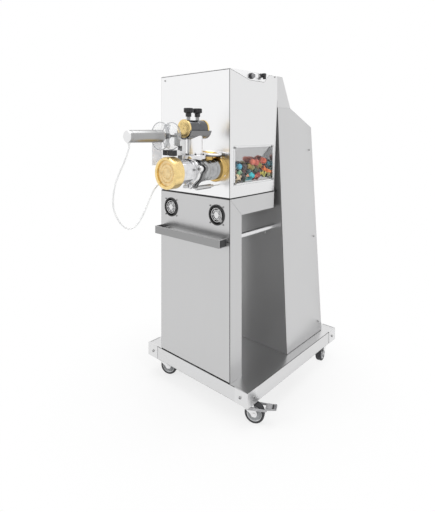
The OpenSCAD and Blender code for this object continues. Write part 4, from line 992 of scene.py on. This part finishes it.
def pasta_shape(kind, size):
    """One piece of dough about its own middle, in metres, sitting on z = -size."""
    bm = bmesh.new()
    r = size / 1000
    if kind in ("ball", "shell", "twist"):
        rows, around = 11, 20
        rings = []
        for i in range(1, rows):
            a = math.pi * i / rows
            ring = []
            for b in round_angles(around):
                if kind == "ball":
                    swell = 1 + 0.03 * math.sin(3 * b + i)
                elif kind == "shell":
                    swell = 0.92 + 0.1 * math.cos(9 * b)
                else:
                    swell = 0.74 + 0.26 * math.cos(3 * b + i * 0.9)
                ring.append(bm.verts.new((r * swell * math.sin(a) * math.cos(b),
                                          r * swell * math.sin(a) * math.sin(b),
                                          r * (1.0 if kind == "ball" else 1.15) * math.cos(a))))
            rings.append(ring)
        for a, b in zip(rings, rings[1:]):
            for k in range(around):
                bm.faces.new((a[k], b[k], b[(k + 1) % around], a[(k + 1) % around]))
        top, low = bm.verts.new((0, 0, r)), bm.verts.new((0, 0, -r))
        for k in range(around):
            bm.faces.new((top, rings[0][k], rings[0][(k + 1) % around]))
            bm.faces.new((low, rings[-1][(k + 1) % around], rings[-1][k]))
    elif kind == "tube":
        around, steps = 24, 7
        rings = []
        for radius, ends in ((1.0, (-1.15, 1.15)), (0.62, (1.15, -1.15))):
            for i in range(steps):
                t = ends[0] + (ends[1] - ends[0]) * i / (steps - 1)
                ring = []
                for b in round_angles(around):
                    wide = r * 0.72 * radius * (1 + 0.05 * math.cos(8 * b))
                    ring.append(bm.verts.new((wide * math.cos(b), r * t, wide * math.sin(b))))
                rings.append(ring)
        grid_faces(bm, [ring + ring[:1] for ring in rings + rings[:1]])
    else:
        across, along = 9, 13
        for side in (1, -1):
            grid = []
            for i in range(along):
                u = i / (along - 1) * 2 - 1
                row = []
                for j in range(across):
                    v = j / (across - 1) * 2 - 1
                    pinch = 0.35 + 0.65 * abs(u)
                    lift = 0.24 * (1 - abs(u)) * math.cos(v * math.pi * 1.5) + side * 0.09 * (1 - max(abs(u),
                        abs(v)) ** 6)
                    row.append(bm.verts.new((r * lift, r * 1.15 * u, r * 0.8 * v * pinch)))
                grid.append(row)
            grid_faces(bm, grid)
        bmesh.ops.remove_doubles(bm, verts=bm.verts, dist=1e-6)
    bmesh.ops.recalc_face_normals(bm, faces=bm.faces)
    return bm


def build_pasta():
    made = bmesh.new()
    tint = made.verts.layers.float_color.new("tint")
    for i, (kind, y, z, size, colour, tilt) in enumerate(PASTA):
        wall = 167.5 + 39 * max(0.0, (z - WALL_FOOT) / 116)
        size = min(size, (PANE_X - wall) / 2 + 1)
        slope = 946 + 38 * (208 - (PANE_X - size)) / 43
        x = PANE_X + 0.1 - size if z < WALL_FOOT else max(wall + size * 0.9, PANE_X - 0.1 - size * 1.3)
        z = max(z, slope + size * 0.9)
        shape = pasta_shape(kind, size)
        shape.transform(stood(min(x, PANE_X - 0.1 - size), y, z) @ spun(tilt, "X")
                        @ spun(37 * i % 90 - 45 if kind == "ball" else 0))
        stripes = kind == "tube" and colour[1] > 0.6
        index = {}
        for v in shape.verts:
            new = made.verts.new(v.co)
            band = 0.25 if stripes and int(v.index / 3) % 2 else 1.0
            new[tint] = (*(c * band for c in colour), 1)
            index[v] = new
        for f in shape.faces:
            made.faces.new([index[v] for v in f.verts])
        shape.free()
    mesh = bpy.data.meshes.new("window_pasta")
    made.to_mesh(mesh)
    made.free()
    stand_in(shade(new_piece("window_pasta", mesh), 50), "display_pieces")


# ---- sheet metal ----
EDGES = {
    # node: (rounding, edge finish - painted shade on the rounded edges and outer folds, a painted highlight for the
    # handle bar - outer fold, finish)
    "base_tray": (0.0009, "edge_dark", 0.0016), "corner_caps": (0.0006,),
    "front_panel": (0.0009, "edge_dark", 0.002), "control_panel": (0.0009, "edge_dark", 0.002),
    "side_frames": (0.0005,), "handle_bar": (0.0012, "edge_light"),
    "mid_deck": (0.0006,), "upper_housing": (0.0009, "edge_dark", 0.0021),
    "lid": (0.0009, "edge_dark"), "rear_hood": (0.0009, "edge_dark", 0.0018, "hood_steel"),
    "tower_shell": (0.0009, "edge_dark", 0.002), "tower_front_wall": (0.0005,),
    "display_tray": (0.0006, None, 0, "window_steel"), "base_frame": (0.001,),
    "fan_frames": (0.0004,), "barrel_fittings": (0.0006, "edge_dark"),
    "display_pane": (0.0005, "guard_edge"), "handrails": (0.0005, None, 0, "cap_steel"),
}


def build_sheet_metal():
    made = {node: soften(node, *values) for node, values in EDGES.items()}
    zone(made["mid_deck"], "gasket", lambda c, n: c.z > 0.8849 and abs(n.z) < 0.5)
    # painted shade: the housing's side faces get the darker copy of its steel
    zone(made["upper_housing"], "painted_shade_side_steel", lambda c, n: abs(n.x) > 0.9)
    frames = made["fan_frames"].data
    frames.materials.append(FINISH["cap_steel"])
    for face in frames.polygons:
        corners = [frames.vertices[v].co for v in face.vertices]
        reach = max(min((c - at(side * FAN_OUT, 0, FAN_UP)).xz.length for side in (-1, 1)) for c in corners)
        if reach < 0.0305 and max(c.y for c in corners) < FRONT - 0.0002:
            face.material_index = len(frames.materials) - 1

    # thin lips that the corner caps fold over the deck, and stops inside the push bar's ends
    lips = []
    for sx in (-1, 1):
        for y, sy in ((-1.5, 1), (736.5, -1)):
            out = [(sx * 301.5, y), (sx * 235.5, y), (sx * 235.5, y + sy * 6), (sx * 295.5, y + sy * 6),
                   (sx * 295.5, y + sy * 66), (sx * 301.5, y + sy * 66)]
            lips.append(painted(plate("lip", stood(0, 0, 144.05), [out[::-1]], 0.9, 0.3), "cap_steel"))
    settle(join("cap_lips", *lips), "machine", "cap_steel")
    stops = []
    for sx in (-1, 1):
        low, high = sorted((sx * 196.1, sx * 196.9))
        stops.append(soft_box("stop", at(low, -44, 698), at(high, -4, 726), "knob_black", 0.0003, 2))
    settle(join("bar_stops", *stops), "machine", "bar_steel")


for build in (build_extruder, build_upper_unit, build_cutter, build_fans, build_casters, build_latches, build_pasta,
              build_sheet_metal):
    build()


# ---- stage, lamps and world ----
# The camera's focal length and rise in pixels of a frame HEIGHT_PX high, its sensor in millimetres, half the width of
# the floor in metres, and the strength of the light from all round.
FOCAL_PX = 417
SHIFT_PX = -124
HEIGHT_PX = 512
SENSOR = 36
FLOOR_HALF = 14
ROOM_STRENGTH = 0.55


def aimed(name, data, place, direction):
    """A camera or lamp at a place, looking in a direction."""
    obj = new_piece(name, data)
    obj.location = place
    obj.rotation_mode = "QUATERNION"
    obj.rotation_quaternion = Vector(direction).to_track_quat("-Z", "Y")
    return obj


def place_camera():
    data = bpy.data.cameras.new("camera")
    data.lens = FOCAL_PX / HEIGHT_PX * SENSOR
    data.sensor_width = SENSOR
    data.shift_y = SHIFT_PX / HEIGHT_PX
    data.clip_start = 0.05
    data.clip_end = 50
    bpy.context.scene.camera = aimed("camera", data, at(1288.5, -1278.5, 1157), (-0.667, 0.745, 0))


def build_stage():
    floor_mesh = bpy.data.meshes.new("floor")
    r = FLOOR_HALF
    floor_mesh.from_pydata([(-r, -r, 0), (r, -r, 0), (r, r, 0), (-r, r, 0)], [], [(0, 1, 2, 3)])
    floor = new_piece("floor", floor_mesh)
    s = Shader("floor", (0.92, 0.92, 0.92), 0.0, 0.9)
    white = s.node("ShaderNodeEmission", Color=(1, 1, 1, 1))
    away = s.node("ShaderNodeVectorMath")
    away.operation = "LENGTH"
    s.link(s.place((1, 1, 0)), away.inputs[0])
    edge = s.remap(away.outputs["Value"], 0.74, 1.0, 0.3, 0.85)
    mixed = s.mix(s.maths("MULTIPLY", edge, s.background_rays()), s.body.outputs[0], white.outputs[0])
    s.link(mixed, s.tree.nodes["Material Output"].inputs["Surface"])
    floor_mesh.materials.append(s.material)

    world = bpy.data.worlds.new("studio")
    bpy.context.scene.world = world
    world.use_nodes = True
    world.node_tree.nodes.clear()
    n = Nodes(world.node_tree)
    split = n.node("ShaderNodeSeparateXYZ")
    n.link(n.node("ShaderNodeTexCoord").outputs["Generated"], split.inputs[0])
    height = n.remap(split.outputs["Z"], 0, 1, -1, 1)
    room = n.node("ShaderNodeBackground", Strength=ROOM_STRENGTH)
    n.link(n.ramp(height, (0.3, (0.75, 0.75, 0.75)), (0.8, (1, 1, 1))), room.inputs["Color"])
    back = n.node("ShaderNodeBackground", Color=(1, 1, 1, 1), Strength=1.0)
    out = n.node("ShaderNodeOutputWorld")
    n.link(n.mix(n.background_rays(), room.outputs[0], back.outputs[0]), out.inputs["Surface"])


def lamp(name, place, aim, size, power, mirrored=True):
    data = bpy.data.lights.new(name, "AREA")
    data.energy = power
    data.size = size
    aimed(name, data, place, Vector(aim) - Vector(place)).visible_glossy = mirrored


place_camera()
build_stage()
lamp("key", (-1.6, -2.8, 2.6), (0, 0, 0.8), 1.8, 45, mirrored=False)
lamp("side", (3.0, -0.6, 2.0), (0, 0, 0.7), 1.6, 30, mirrored=False)
lamp("top", (0.2, 0.1, 3.6), (0, 0, 0.5), 2.4, 40)

bpy.context.scene.view_settings.view_transform = "Standard"
